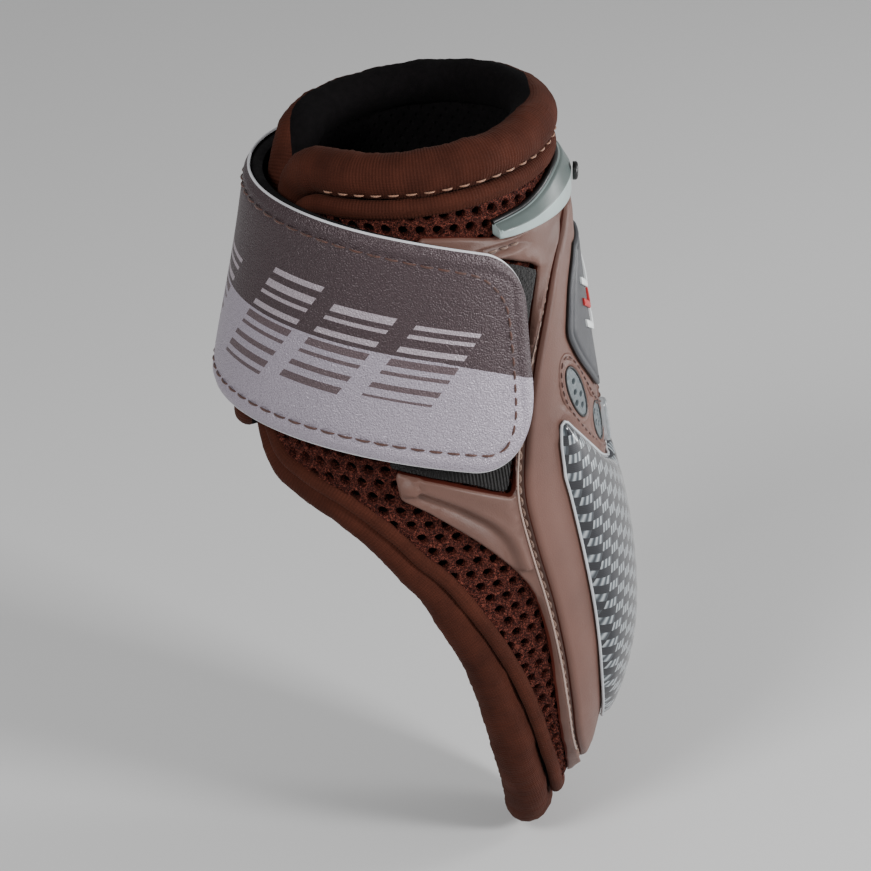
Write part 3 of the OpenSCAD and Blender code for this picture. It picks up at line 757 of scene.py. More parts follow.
# ---------------------------------------------------------------- the wrap: edge path, rolls, bindings, mesh, lining
def half_path(edge):
    """The middle of the rolled trim round one half of the wrap: spine at the rim, front edge, spine at the tail."""
    pitch = lambda d: DEG * (along(SECTIONS, d, 1) - 3.5)
    top = float(rim_depth(edge)) + CORNER
    low = float(along(TAIL_LINE, edge)) - CORNER
    b1 = edge - CORNER / float(pitch(top))
    b2 = edge - CORNER / float(pitch(low))
    a = np.linspace(0, 90, 16)[1:]
    t1 = np.linspace(0, b1, 120)
    parts = [np.stack([t1, rim_depth(t1), np.zeros_like(t1)], -1)]
    t = b1 + CORNER * np.sin(a * DEG) / float(pitch(top))
    parts.append(np.stack([t, rim_depth(t) + CORNER * (1 - np.cos(a * DEG)), a / 90], -1))
    d = np.linspace(top, low, 40)[1:-1]
    parts.append(np.stack([np.full_like(d, edge), d, 1 + np.linspace(0, 1, len(d))], -1))
    a = a[::-1]
    t = b2 + CORNER * np.sin(a * DEG) / float(pitch(low))
    parts.append(np.stack([t, along(TAIL_LINE, t) - CORNER * (1 - np.cos(a * DEG)), np.full_like(t, 2.0)], -1))
    t = np.linspace(b2, 0, 220)
    parts.append(np.stack([t, along(TAIL_LINE, t), np.full_like(t, 3.0)], -1))
    p = np.concatenate(parts)
    q = flat(p[:, 0], p[:, 1])
    s = np.concatenate([[0], np.cumsum(np.linalg.norm(np.diff(q, axis=0), axis=1))])
    at = np.linspace(0, s[-1], int(s[-1] / 1.25))
    x, y, stage = (np.interp(at, s, c) for c in (q[:, 0], q[:, 1], p[:, 2]))
    t, d = rolled(np.stack([x, y], -1))
    on_tail = stage > 2.5
    full = eased((105 - t) / 60)
    tuck = eased((100 - t) / 80)
    r = np.where(on_tail, mix(4, 6, full), mix(6, 4, eased(stage / 2)))
    mid = np.where(on_tail, mix(-3.5, -6.4, tuck), -3.5) + 2.2 * eased((t - 160) / 10) * eased((d - 72) / 12)
    rb = np.where(on_tail, 1.8, mix(2.3, 1.8, eased(stage / 2)))
    return np.stack([x, y], -1), r, mid, rb, at, stage


def inward(line, by):
    """The path moved into the wrap by a distance in mm."""
    way = np.gradient(line, axis=0)
    way[0] = (1, 0)
    way[-1] = (-1, 0)
    way /= np.linalg.norm(way, axis=1, keepdims=True)
    moved = line + np.stack([-way[:, 1], way[:, 0]], -1) * np.asarray(by).reshape(-1, 1)
    moved[0, 0] = moved[-1, 0] = 0
    return moved


def square_ends(c, across, n, side):
    """Turns the frames at both ends of a half's path square to the spine's plane, so that two halves meet flush."""
    for k, way in ((0, side), (-1, -side)):
        n[k, 1] = 0
        n[k] /= np.linalg.norm(n[k])
        across[k] = np.cross((0, way, 0), n[k])
        c[k, 1] = 0


def edge_trims(side, name, edge):
    line, r, mid, rb, s, stage = half_path(edge)
    beside = np.sqrt((r + rb - 0.2) ** 2 - (mid + 0.6) ** 2)
    t, d = rolled(line)
    # the padded roll, whose ring is cut in two where the lining's cloth meets the knit; on the far half the black
    # lining cloth is carried up over the crest as painted shade, where the far inside falls in shadow
    lining_and_shade_split = (mix(-0.1, 0.5, eased((t - 5) / 35)) if side > 0 else mix(-0.1, -0.6, eased(t / 30)))
    front = -0.35 if side > 0 else -0.6
    limit = np.arccos(np.where(stage > 2.5, -0.6 - 0.3 * eased((110 - t) / 20), mix(lining_and_shade_split, front, eased(stage))))
    puff = 1 + 0.03 * wobble(s * 0.16, 0 * s, 1.0 + side) + 0.02 * wobble(s * 0.5, 0 * s, 2.0)
    k = np.arange(16) / 16
    a = np.concatenate([mix(-limit[:, None], limit[:, None], k[None]),
                        mix(limit[:, None], 2 * math.pi - limit[:, None], k[None, ::2])], 1)
    sides = a.shape[1]
    c, across, n = frame_of(t * side, d, mid)
    square_ends(c, across, n, side)
    out = n[:, None] * np.cos(a)[..., None] + across[:, None] * np.sin(a)[..., None]
    ends = eased(s / 12) * eased((s[-1] - s) / 12)
    pucker = 1 + ends[:, None] * (0.02 * wobble(s[:, None] * 0.9, a * 3, 0.5)
                                  + 0.014 * np.sin(s[:, None] * 2.1 + 3 * np.sin(a)))
    fold = 1 + ends[:, None] * 0.05 * wobble(s[:, None] * 0.22, a * 1.3, 2.5) * (np.cos(a) > -0.4)
    seam_dip = 1 - 0.035 * np.exp(-(np.minimum(np.abs(a - limit[:, None]), np.abs(a + limit[:, None])) / 0.12) ** 2)
    radius_mm = (r * mix(1, puff, ends))[:, None] * pucker * fold * seam_dip
    pts = c[:, None] + out * radius_mm[..., None] * MM
    pts[[0, -1], :, 1] = 0
    shape = Shape()
    uv = np.stack(np.broadcast_arrays(s[:, None], a * 5.5), -1)
    mats = np.tile((np.arange(sides) >= 16).astype(int), len(s) - 1)
    shape.grid(pts, mats, uv, wrap=True, flip=side > 0)
    roll = shape.build(name + "_edge_roll", [M["roll"], M["black_knit"]])
    # the narrow second roll
    line2 = inward(line, beside)
    t2, d2 = rolled(line2)
    c2, across2, n2 = frame_of(t2 * side, d2, -0.6)
    square_ends(c2, across2, n2, side)
    shape = Shape()
    ripple = 1 + 0.03 * wobble(s * 0.7, 0 * s, 4.0)
    sweep(shape, c2, across2, n2, rb * ripple * 1.12, rb * ripple * 0.92, 18)
    binding = shape.build(name + "_binding", [M["binding"]])
    # pale stitches low on the rim's roll, and dark ones in the valley beside it on the tail
    frac = (r - 0.1) / (r + rb - 0.2)
    valley = inward(line, beside * frac)
    off_valley = mid + (-0.6 - mid) * frac + 1.0
    st = Shape()
    rim = stage < 0.02
    keep = rim & (t < edge - 26)
    vs = inward(line, r * 0.53)[keep]
    off_roll = float((mid + 0.85 * r)[keep].mean()) + 0.08
    stitches(st, vs, lambda tt, dd: off_roll, 4.3, 2.7, 0.25, 0, sign=side)
    keep = stage > 2.5
    tail = valley[keep]
    off_tail = off_valley[keep]
    tt_tail = rolled(tail)[0]
    order = np.argsort(tt_tail)
    stitches(st, tail, lambda tt, dd: np.interp(tt, tt_tail[order], off_tail[order]) - 0.35,
             4.3, 2.7, 0.28, 1, sign=side)
    sewn = st.build(name + "_trim_stitches", [M["thread_pale"], M["thread_dark"]])
    return roll, binding, sewn, line, line2


def cells(shape, region, side, pitch, hole, top, depth, crown, skip=None, turn=0.0, sides=12):
    """A hexagonal net of round holes over a region of the unrolled plane, each cell with its own sunk hole."""
    low, high = region.min(0) - 2 * pitch, region.max(0) + 2 * pitch
    rows = np.arange(0, (high[1] - low[1]) / (pitch * 0.866) + 1)
    cols = np.arange(0, (high[0] - low[0]) / pitch + 1)
    gx, gy = np.meshgrid(cols, rows, indexing="ij")
    centre = np.stack([low[0] + (gx + 0.5 * (gy % 2)) * pitch, low[1] + gy * pitch * 0.866], -1).reshape(-1, 2)
    if turn:
        mid = region.mean(0)
        cs, sn = math.cos(turn), math.sin(turn)
        centre = (centre - mid) @ np.array([[cs, sn], [-sn, cs]]) + mid
    within = inside(centre, region)
    gap = distance(centre, region, True)
    centre = centre[within | (gap < pitch * 0.55)]
    if skip is not None:
        centre = centre[~skip(centre)]
    within = inside(centre, region)
    gap = distance(centre, region, True)
    full = within & (gap > pitch * 0.40)
    ang = np.arange(sides) * 2 * math.pi / sides + math.pi / 6 + turn
    hexr = pitch / 2 / np.cos((ang - turn + math.pi / 6) % (math.pi / 3) - math.pi / 6) * 1.01
    for group, holed in ((centre[full], True), (centre[~full], False)):
        if not len(group):
            continue
        w = wobble(group[:, 0] * 0.9, group[:, 1] * 0.8, 3.0)[:, None]
        unit = np.stack([np.cos(ang), np.sin(ang)], -1)
        radii = [hexr, mix(hexr, hole, 0.55)] + [np.full(sides, hole * k) for k in (1.14, 1, 0.86)]
        offs = [top - crown * 0.5, top, top - crown * 0.25, top - crown * 1.4, top - depth]
        if not holed:
            radii, offs = radii[:3] + [np.full(sides, hole * 0.1)], offs[:2] + [top - crown * 0.6, top - crown * 0.9]
        q = np.stack([group[:, None] + unit[None] * (rad * (1 + 0.05 * w * (k > 1)))[..., None]
                      for k, rad in enumerate(radii)], 1)
        shape_q = q.shape
        q = q.reshape(-1, 2)
        # what would stick out of the region is drawn back to its edge
        out = ~inside(q, region)
        if out.any():
            q[out] = region[np.argmin(((q[out][:, None] - region[None]) ** 2).sum(-1), axis=1)]
        t, d = rolled(q)
        off = np.broadcast_to(np.array(offs)[None, :, None], shape_q[:3]).reshape(-1)
        pts = place(t * side, d, off).reshape(*shape_q[:3], 3)
        uv = q.reshape(shape_q)
        n_cell, n_ring = shape_q[:2]
        base = (np.arange(n_cell) * n_ring * sides)[:, None, None, None]
        k = np.arange(n_ring - 1)[None, :, None, None] * sides
        j = np.arange(sides)[None, None, :, None]
        j2 = (j + 1) % sides
        quad = np.concatenate([base + k + j, base + k + j2, base + k + sides + j2, base + k + sides + j], -1)
        quad = quad.reshape(-1, 4)
        shape.add(pts, quad if side > 0 else quad[:, ::-1], 0, uv.reshape(-1, 2))


def shell_edge(d):
    return np.maximum(along(GROOVE, np.clip(d, 25, 191)), 3) + along(FLANGE, d)


def wrap_half(side, name, edge):
    roll, binding, sewn, line, line2 = edge_trims(side, name, edge)
    nodes = {"near": "near_flap", "far": "far_flap"}[name]
    # spacer mesh up to the binding's middle
    region = np.vstack([line2, [[0, line2[-1, 1]], [0, line2[0, 1]]]])
    region = resample(region[np.concatenate([[True], np.linalg.norm(np.diff(region, axis=0), axis=1) > 1e-6])], 1.2, True)
    shape = Shape()

    def hidden(c):
        t, d = rolled(c)
        return (t < shell_edge(np.clip(d, 25, 191)) - 7) & (d > 29) & (d < 184)

    cells(shape, region, side, 4.4, 1.3, 0.0, 2.4, 0.5, hidden)
    net = shape.build(name + "_spacer_mesh", [M["mesh"]])
    # a plain black layer below the net, and the lining
    inset = resample(np.vstack([inward(line, 4.0), [[0, line[-1, 1] - 6], [0, line[0, 1] + 6]]]), 2.0, True)
    t, d = rolled(inset)
    under = plate(name + "_mesh_base", np.stack([t * 1.0, d], -1), lambda t, d, s: np.full(len(t), -2.5),
                  lambda t, d, s: np.full(len(t), -4.0), [M["mesh_under"], M["mesh_under"]], 4.0, (1.0,), step=2.5, build=False)
    ub = under
    if side < 0:
        for k in range(len(ub.v)):
            ub.v[k] = ub.v[k] * [1, -1, 1]
        ub.f = [f[::-1] for f in ub.f]
    base = ub.build(name + "_mesh_base", [M["mesh_under"]] * 2)
    lin = plate(name + "_lining", np.stack([t * 1.0, d], -1), lambda t, d, s: -4.3 - 0.5 * np.exp(-s / 1.5),
                lambda t, d, s: -8.0 - 0.15 * wobble(t * 0.25, d * 0.2) + 1.2 * np.exp(-s / 1.2),
                [M["lining"], M["lining"]], 3.0, (0.6, 1.4), step=2.0, build=False)
    if side < 0:
        for k in range(len(lin.v)):
            lin.v[k] = lin.v[k] * [1, -1, 1]
        lin.f = [f[::-1] for f in lin.f]
    lining = lin.build(name + "_lining", [M["lining"]] * 2)
    start, end = place(side * 96, 50, 0), place(side * 116, 50, 0)
    start = (float(start[0]), float(start[1]), float(start[2]))
    end = (float(end[0]), float(start[1]), float(start[2]))
    for obj, slot_name, stands, fill in (
            (roll, "trim_lycra", ["rim_roll", "tail_roll", nodes + "_roll"], 0.85),
            (binding, "binding_lycra", ["rim_binding", "tail_binding", nodes + "_binding"], 0.8),
            (sewn, "trim_lycra", [], None),
            (net, "spacer_mesh", ["air_mesh", nodes + "_mesh"], None),
            (base, "spacer_mesh", [], None),
            (lining, "lining_neoprene", ["liner", nodes + "_liner"], 0.7)):
        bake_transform(obj)
        if stands:
            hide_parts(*stands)


wrap_half(-1, "near", NEAR_EDGE)
wrap_half(1, "far", FAR_EDGE)

# ---------------------------------------------------------------- the moulded shell
def outline_side():
    """The shell's outline on one side, from the top of the spine round both wings to the bottom."""
    pts = [(0, 25.0), (8, 25.0), (18, 24.7)]
    pts += [(x, float(along(UPPER_TOP, x))) for x in np.linspace(24, 87.5, 14)]
    pts += [(89, 23.2), (89.3, 25.5), (88.8, 27.6)]
    pts += [(x, float(along(UPPER_LOW, x))) for x in np.linspace(86, 40.5, 12)]
    pts += [(36.6, 35.9)]
    pts += [(float(along(WINDOW_EDGE, d)), d) for d in (38.5, 42, 46, 50, 55, 60, 66, 72, 78, 84, 89, 92.5)]
    pts += [(58.2, 94.0), (60, 94.0)]
    pts += [(x, float(along(LOWER_TOP, x))) for x in np.linspace(63, 92, 9)]
    pts += [(95.6, 84.9), (95.9, 86.5), (94.6, 92.2), (93.2, 93.1)]
    pts += [(90, 94.4), (86, 96.2), (81.5, 98.8), (76.5, 101.9), (71.1, 105.6), (66.7, 109.1), (62.3, 113.0), (57.8, 117.2),
            (55, 120.7), (52.5, 124.6), (50.9, 128.3), (49.5, 132.8), (47.7, 139.2), (46.4, 144.6), (44.3, 153), (41.8, 160),
            (38.9, 167), (34.5, 174.5), (27, 183), (17.5, 190)]
    pts += [(11, 193), (5, 194.5), (0, 194.8)]
    return np.array(pts)


half = outline_side()
shell_outline = np.vstack([half, (half * [-1, 1])[::-1][1:-1]])
groove_d = np.concatenate([np.linspace(25.2, 30, 8), np.linspace(31, 186, 150), np.linspace(186.5, 191, 9)])
groove_t = along(GROOVE, groove_d)
groove_line = flat(groove_t, groove_d)
groove_both = [groove_line, groove_line * [-1, 1]]
LOWER_RIB = flat(np.array([89.5, 83.8, 79.6, 75.4, 72, 68.2, 65.2, 62.6, 60.9, 59.5, 58.6, 57.4]),
                 np.array([90, 92.1, 93.7, 95.6, 97.6, 99.8, 102.1, 104.8, 107.3, 110.4, 113.4, 116.1]))
upper_low = flat(np.linspace(89, 40, 40), along(UPPER_LOW, np.linspace(89, 40, 40)))
SLOT = flat(np.array([44.5, 62.5]), np.array([27.0, 27.6]))


def groove_gap(t, d):
    """Signed distance to the sewn groove: positive outside it."""
    q = flat(np.abs(t), d)
    g = distance(q, groove_line)
    return np.where(np.abs(t) > along(GROOVE, np.clip(d, 25, 191)), g, -g)


def shell_height(t, d, s):
    at = np.abs(t)
    q = flat(at, d)
    g = groove_gap(t, d)
    h = np.full(len(t), 2.0)
    # lip outside the stitches and the groove they lie in
    fade = eased((d - 26) / 6) * eased((193 - d) / 5)
    h += fade * (1.2 * np.exp(-((g - 1.1) / 0.6) ** 2) - 1.25 * np.exp(-((g + 0.45) / 0.75) ** 2))
    outside = g > 1.4
    # upper wing: a soft rib along the window, and the sewn slot under the collar
    upper = outside & (d < 37)
    rib = distance(q, upper_low)
    h += np.where(upper, 0.7 * np.exp(-((rib - 1.5) / 1.2) ** 2), 0)
    slot_gap = distance(q, SLOT)
    h -= np.where(upper, 1.3 * eased((1.35 - slot_gap) / 0.4), 0)
    h += np.where(upper, 0.55 * np.exp(-((slot_gap - 1.8) / 0.45) ** 2), 0)
    # lower wing: raised rib along the window, a scoop below it, and a squared raised tip
    lower = outside & (d > 80) & (d < 128) & (at > 52)
    above = (q[:, 1] - np.interp(-at, -rolled(LOWER_RIB)[0], LOWER_RIB[:, 1]))
    gap = distance(q, LOWER_RIB) * np.where(above < 0, -1, 1)
    rise = eased((0.5 - gap) / 1.7)
    scoop = np.exp(-((gap - 1.3) / 1.3) ** 2)
    wing = mix(2.3, 3.7, rise) - 1.15 * scoop * eased((92 - at) / 6) - 0.25 * np.exp(-((gap + 3.2) / 1.1) ** 2)
    box = eased((at - 88.6) / 0.7) * eased((94.4 - at) / 0.6) * eased((d - 86.2) / 0.7) * eased((91.6 - d) / 0.8)
    wing = mix(np.where(at > 88.2, np.minimum(wing, 2.7), wing), 3.9, box)
    h = np.where(lower, mix(h, wing, eased((g - 1.2) / 1.6)), h)
    # the flange falls off below the wings
    h -= np.where(outside & (d > 126), 0.5 * eased((g - 1.5) / 2.0), 0)
    r = 0.9
    h -= r * fillet(s, r)
    return h


lines = [(resample(l, 1.0), (-1.5, -1.0, -0.5, 0.0, 0.5, 1.0, 1.5, 2.0)) for l in groove_both]
lines += [(resample(LOWER_RIB * [k, 1], 1.0), (-2.2, -1.4, -0.7, 0, 0.7, 1.4, 2.2)) for k in (1, -1)]
lines += [(resample(SLOT * [k, 1], 0.7), (-2.2, -1.5, -1.0, -0.5, 0, 0.5, 1.0, 1.5, 2.2)) for k in (1, -1)]
shell = plate("shell_body", shell_outline, shell_height, 0.3, [M["shell"], M["shell_wall"]], 1.5, (0.2, 0.5, 0.9), lines)
finish(shell, ["shell"])

# stitches in the groove and in the slots
st = Shape()
for sign in (1, -1):
    run = resample(shifted(groove_line[10:-6], -0.4, False), 0.8)
    stitches(st, run, 1.75, 3.2, 2.75, 0.42, 0, sign=sign)
    loop_t = np.array([46, 52, 58, 61.5])
    slot_line = resample(flat(loop_t, np.interp(loop_t, [44.5, 62.5], [27.0, 27.6])), 0.5)
    stitches(st, slot_line, 1.75, 3.2, 2.4, 0.32, 0, sign=sign)
finish(st.build("shell_stitches", [M["thread_tan"]]), [])

# a lighter bead along the lip beside the stitches: painted highlight, its pale colour and its greater width lower down
# standing for the lip's highlight
lip = Shape()
for sign in (1, -1):
    run = resample(shifted(groove_line[26:-16], 0.95, False), 1.2)
    t, d = rolled(run)
    c, side, n = frame_of(t * sign, d, 3.08)
    # the bead widens lower down, where the painted highlight is strongest
    sweep(lip, c, side, n, 0.3 * np.clip(eased((d - 50) / 40) + 0.5, 0, 1), 0.26, 8)
finish(lip.build("shell_groove_lip_painted_highlight", [M["lip"]]), [])

# ---------------------------------------------------------------- spine plate
pd = np.concatenate([np.linspace(25.2, 30, 6), np.linspace(32, 186, 60), np.linspace(187, 190.6, 6)])
pt = np.maximum(along(GROOVE, pd) - 2.1, 0.3)
plate_outline = np.vstack([np.stack([pt, pd], -1), np.stack([-pt, pd], -1)[::-1]])
badge_d = np.linspace(36, 79.5, 40)
badge_edge = flat(along(BADGE, badge_d), badge_d)
guard_top_line = flat(np.linspace(0, 38.2, 40), along(GUARD_TOP, np.linspace(0, 38.2, 40)))


def vent_outline(v, grow=0.0, n=28):
    """A leaning oval round a vent."""
    a = np.linspace(0, 2 * math.pi, n, endpoint=False)
    k = DEG * float(radius(v[1]))
    x = (v[2] * k + grow) * np.cos(a)
    y = (v[3] + grow) * np.sin(a)
    lean = 0.34
    return np.stack([v[0] + (x - y * lean) / k, v[1] + y + x * 0.12], -1)


def plate_height(t, d, s):
    q = flat(np.abs(t), d)
    h = np.full(len(t), 3.6)
    r = 1.3
    h -= r * 0.95 * fillet(s, r)
    # a faint crown down each side strip
    h += 0.25 * np.exp(-((s - 4.5) / 3.0) ** 2)
    # a low ridge round the guard and shoulders beside the badge
    b = distance(q, badge_edge)
    h -= np.where((d > 34) & (d < 81), 0.45 * np.exp(-(b / 0.8) ** 2), 0)
    g = distance(q, guard_top_line)
    h += np.where(d < 105, 0.55 * np.exp(-((g - 2.6) / 0.9) ** 2), 0)
    for v in VENTS:
        o = flat(*vent_outline(v).T)
        k = distance(q, o, True)
        h += 0.55 * np.exp(-((k - 1.1) / 0.6) ** 2) * (~inside(q, o))
        h = np.where(inside(q, o), h - 0.9, h)
    return h


plate_lines = [(resample(badge_edge * [k, 1], 1.0), (-0.8, 0, 0.8)) for k in (1, -1)]
plate_lines += [(resample(guard_top_line * [k, 1], 1.0), (-3.4, -2.6, -1.8, 1.8, 2.6, 3.4)) for k in (1, -1)]
for v in VENTS:
    for k in (1, -1):
        o = flat(*vent_outline(v).T) * [k, 1]
        plate_lines.append((resample(np.vstack([o, o[:1]]), 0.8), (-1.7, -1.1, -0.6, -0.1, 0.15, 0.6, 1.1, 1.7)))
spine = plate("spine_plate_body", plate_outline, plate_height, 1.9, [M["plate"], M["shell_wall"]], 1.6,
              (0.25, 0.6, 1.1, 1.7), plate_lines)
finish(spine, ["spine_plate"])

# stitched cord round the vent band, from the spine out round the first vent and back
BAND = np.array([[1, 84.5], [9, 81.5], [14.6, 76.6], [20, 70.5], [24.5, 65], [29, 61.3], [32.6, 61.2], [34.8, 65.3], [35.1, 69.7],
                 [33.8, 73.6], [30.7, 77.6], [26.8, 81.9], [20.6, 87.2], [13, 92], [6, 95.6], [1, 97]])
st = Shape()
cord = Shape()
for sign in (1, -1):
    run = resample(smooth_path(resample(flat(BAND[:, 0], BAND[:, 1]), 1.0), 8), 0.7)
    t, d = rolled(run)
    c, side, n = frame_of(t * sign, d, 3.62)
    sweep(cord, c, side, n, 0.95, 0.42, 10)
    stitches(st, run, 4.1, 2.5, 2.0, 0.27, 0, sign=sign)
finish(st.build("vent_band_stitches", [M["thread_brown"]]), [])
finish(cord.build("vent_band_cord", [M["plate"]]), [])

# ---------------------------------------------------------------- badge, emblem, vents, window
bt = along(BADGE, badge_d)
badge_outline = np.vstack([np.stack([bt, badge_d], -1), np.stack([-bt, badge_d], -1)[::-1]])


def badge_height(t, d, s):
    h = 4.75 + 0.0 * t
    h -= 0.5 * np.exp(-((s - 1.9) / 0.35) ** 2)
    h -= 0.7 * fillet(s, 0.7)
    return h


badge = plate("badge_shield", badge_outline, badge_height, 3.5, [M["badge"], M["black"]], 1.3,
              (0.2, 0.45, 0.8, 1.4, 1.7, 1.95, 2.2, 2.6))
finish(badge, ["badge"])
em = Shape()
for k, d0 in enumerate((45, 51, 57)):
    t0 = np.linspace(-12, 12, 25)
    ridge = d0 + 5 * (1 - np.abs(t0) / 12)
    outline = band(t0, ridge, ridge + 2.0)
    part = plate("", outline, lambda t, d, s: 5.55 - 0.3 * np.exp(-s / 0.25), 4.6, [], 1.2, (0.2, 0.5), step=0.7,
                 build=False)
    em.merge(part, 1 if k == 1 else 0)
finish(em.build("badge_chevrons", [M["relief"], M["accent"]]), ["badge_emblem"])

vents = Shape()
recess = Shape()
rims = Shape()
for v in VENTS:
    o = resample(flat(*vent_outline(v, -0.15).T), 0.8, True)
    for sign in (1, -1):
        cells(vents, o, sign, 3.1, 0.82, 3.75, 1.0, 0.1, turn=0.5, sides=12)
        tt, dd = rolled(np.vstack([o, o[:2]]))
        c, side, n = frame_of(tt * sign, dd, 3.7)
        sweep(rims, c, side, n, 0.35, 0.35, 8)
    part = plate("", vent_outline(v, 0.1), lambda t, d, s: np.full(len(t), 2.95), 2.7, [], 1.5, (), step=1.0,
                 build=False, mirror=True)
    recess.merge(part)
finish(vents.build("vent_grilles", [M["vent"]]), ["vent_inserts"])
finish(recess.build("vent_recesses", [M["hole"]]), [])
finish(rims.build("vent_rims", [M["black"]]), [])

a = np.linspace(0, 2 * math.pi, 40, endpoint=False)
win_outline = np.stack([3.2 * np.sign(np.cos(a)) * np.abs(np.cos(a)) ** 0.6,
                        90 + 6 * np.sign(np.sin(a)) * np.abs(np.sin(a)) ** 0.6], -1)
window = plate("centre_window_lens", win_outline, lambda t, d, s: 5.75 - 0.8 * fillet(s, 1.0),
               3.7, [M["window"], M["bead"]], 0.9, (0.2, 0.5, 0.9), step=0.7)
finish(window, ["centre_window"])

# ---------------------------------------------------------------- strike guard
gt = np.concatenate([np.linspace(0, 36, 30), np.linspace(36.6, 39, 10)])
guard_side = np.vstack([np.stack([gt, along(GUARD_TOP, gt)], -1), np.stack([gt, along(GUARD_LOW, gt)], -1)[::-1][1:]])
guard_outline = np.vstack([guard_side, (guard_side * [-1, 1])[::-1][1:-1]])


def dome(t, d):
    at = np.minimum(np.abs(t), GUARD_HALF)
    lo, hi = along(GUARD_TOP, at), along(GUARD_LOW, at)
    v = np.clip((d - lo) / np.maximum(hi - lo, 0.5), 0, 1)
    return 4 * (4 * v * (1 - v)) ** 0.6 * np.maximum(0, 1 - (at / GUARD_HALF) ** 2) ** 0.6


def guard_height(t, d, s):
    return 3.95 + 1.4 - 1.1 * np.exp(-s / 0.7) + dome(t, d) * np.minimum(1, (s + 0.2) / 2.2) ** 0.35


guard = plate("guard_dome", guard_outline, guard_height, lambda t, d, s: 3.85 + 0.0 * t, [M["carbon"], M["bead"]], 1.3,
              (0.25, 0.6, 1.1, 1.8, 2.6), step=1.0)
finish(guard, ["strike_guard"])
pad_outline = np.stack([guard_outline[:, 0] * 0.8, mix(133.0, guard_outline[:, 1], 0.8)], -1)
pad = plate("impact_pad_gel", pad_outline, lambda t, d, s: 4.3 + 0.6 * dome(t, d), 3.85, [M["foam"], M["foam"]], 3.0,
            (0.8,), step=2.0)
finish(pad, ["impact_pad"])

ring = resample(flat(guard_outline[:, 0], guard_outline[:, 1]), 1.0, True)
ring = ring if signed_area(ring) > 0 else ring[::-1]
ring = shifted(ring, 0.35)
tt, dd = rolled(np.vstack([ring, ring[:2]]))
bead = Shape()
c, side, n = frame_of(tt, dd, np.where(dd < 100, 4.1 + 0.3 * eased((np.abs(tt) - 30) / 6), 4.4))
sweep(bead, c, side, n, 0.38, 0.42, 12, caps=False)
finish(bead.build("guard_bead", [M["bead"]]), ["guard_rim"])

# ---------------------------------------------------------------- collar and stud
ct = np.linspace(-57.5, 57.5, 80)
top_d, low_d = along(INTAKE_TOP, np.abs(ct)), along(INTAKE_LOW, np.abs(ct))
collar_outline = np.vstack([np.stack([ct, top_d], -1), np.stack([ct[::-1] + 0 * ct, low_d[::-1]], -1)])
collar_ridge = flat(ct, mix(top_d, low_d, 0.42))


def collar_height(t, d, s):
    at = np.abs(t)
    v = (d - along(INTAKE_TOP, at)) / np.maximum(along(INTAKE_LOW, at) - along(INTAKE_TOP, at), 0.5)
    h = np.where(v < 0.42, mix(2.6, 4.6, np.clip(v / 0.42, 0, 1)), mix(4.6, 4.1, (v - 0.42) / 0.58))
    h -= 0.5 * fillet(s, 0.5)
    return h * (1 - 0.12 * eased((at - 50) / 8))


collar = plate("collar_band", collar_outline, collar_height, 0.3, [M["collar"], M["collar_bevel"]], 1.2,
               (0.15, 0.35, 0.6), [(resample(collar_ridge, 1.0), (-0.3, 0, 0.3))])
# faces above the ridge take the darker grey, the collar's grey at about half its brightness; all other faces, the walls
# too, take the lighter grey
tint = []
for poly in collar.data.polygons:
    u, v = np.mean([collar.data.uv_layers[0].data[k].uv[:] for k in poly.loop_indices], axis=0) * 100
    at = abs(float(rolled(np.array([[u, v]]))[0][0]))
    share = (v - float(along(INTAKE_TOP, at))) / (float(along(INTAKE_LOW, at)) - float(along(INTAKE_TOP, at)))
    tint.append(1 if share < 0.42 and poly.material_index == 0 else 0)
collar.data.polygons.foreach_set("material_index", tint)
finish(collar, ["air_intake"])
# a black tube along the collar's top edge: painted shadow there
seam = Shape()
t = np.linspace(-58, 58, 120)
c, side, n = frame_of(t, along(INTAKE_TOP, np.abs(t)) - 0.3, 0.9)
sweep(seam, c, side, n, 0.7, 0.8, 8)
finish(seam.build("collar_top_painted_shadow", [M["black"]]), [])
stud = Shape()
centre = place(0.0, 19.0, 4.9)
prof = [(0, 0.0), (0, 2.4), (0.9, 2.4), (1.3, 2.0), (1.45, 1.0), (1.5, 0.0)]
a = np.linspace(0, 2 * math.pi, 32, endpoint=False)
pts = np.array([[centre + np.array([x, r * math.cos(b), r * math.sin(b)]) * MM for b in a] for x, r in prof])
stud.grid(pts, 0, None, wrap=True)
finish(stud.build("collar_stud", [M["black"]]), ["intake_stud"])

# ---------------------------------------------------------------- hook-and-loop panels
wt = np.linspace(38.2, 97.8, 60)
panel_outline = band(wt, along(WINDOW_TOP, wt), along(WINDOW_LOW, wt))
for sign, name, node in ((-1, "loop_panel", "loop_patch"), (1, "anchor_panel", "anchor_patch")):
    part = plate("", panel_outline, lambda t, d, s: 1.8 + 0.16 * wobble(t * 3.1, d * 2.7) - 0.3 * np.exp(-s / 0.5),
                 0.3, [], 1.5, (0.4, 0.9), step=1.2, build=False)
    if sign < 0:
        for k in range(len(part.v)):
            part.v[k] = part.v[k] * [1, -1, 1]
        part.f = [f[::-1] for f in part.f]
    finish(part.build(name, [M["pile"], M["pile"]]), [node])

# ---------------------------------------------------------------- the strap
def strap_line(t):
    return 46 + 13 * (np.abs(180 - t) / 130) ** 3


STRAP_PITCH = DEG * 47


def strap_edges(t, margin=0.0):
    """Depth of the strap's top and bottom edge at each angle, with its tongue's rounded corners."""
    half_w = STRAP_HALF - margin
    s = (STRAP_END - margin / STRAP_PITCH - t) * STRAP_PITCH
    line = strap_line(t)

    def corner(size, deep):
        x = size - np.clip(s, 0, size)
        return (size - np.sqrt(np.maximum(0, size**2 - x**2))) * deep / size

    return line - half_w + corner(12, 12), line + half_w - corner(18, 27)


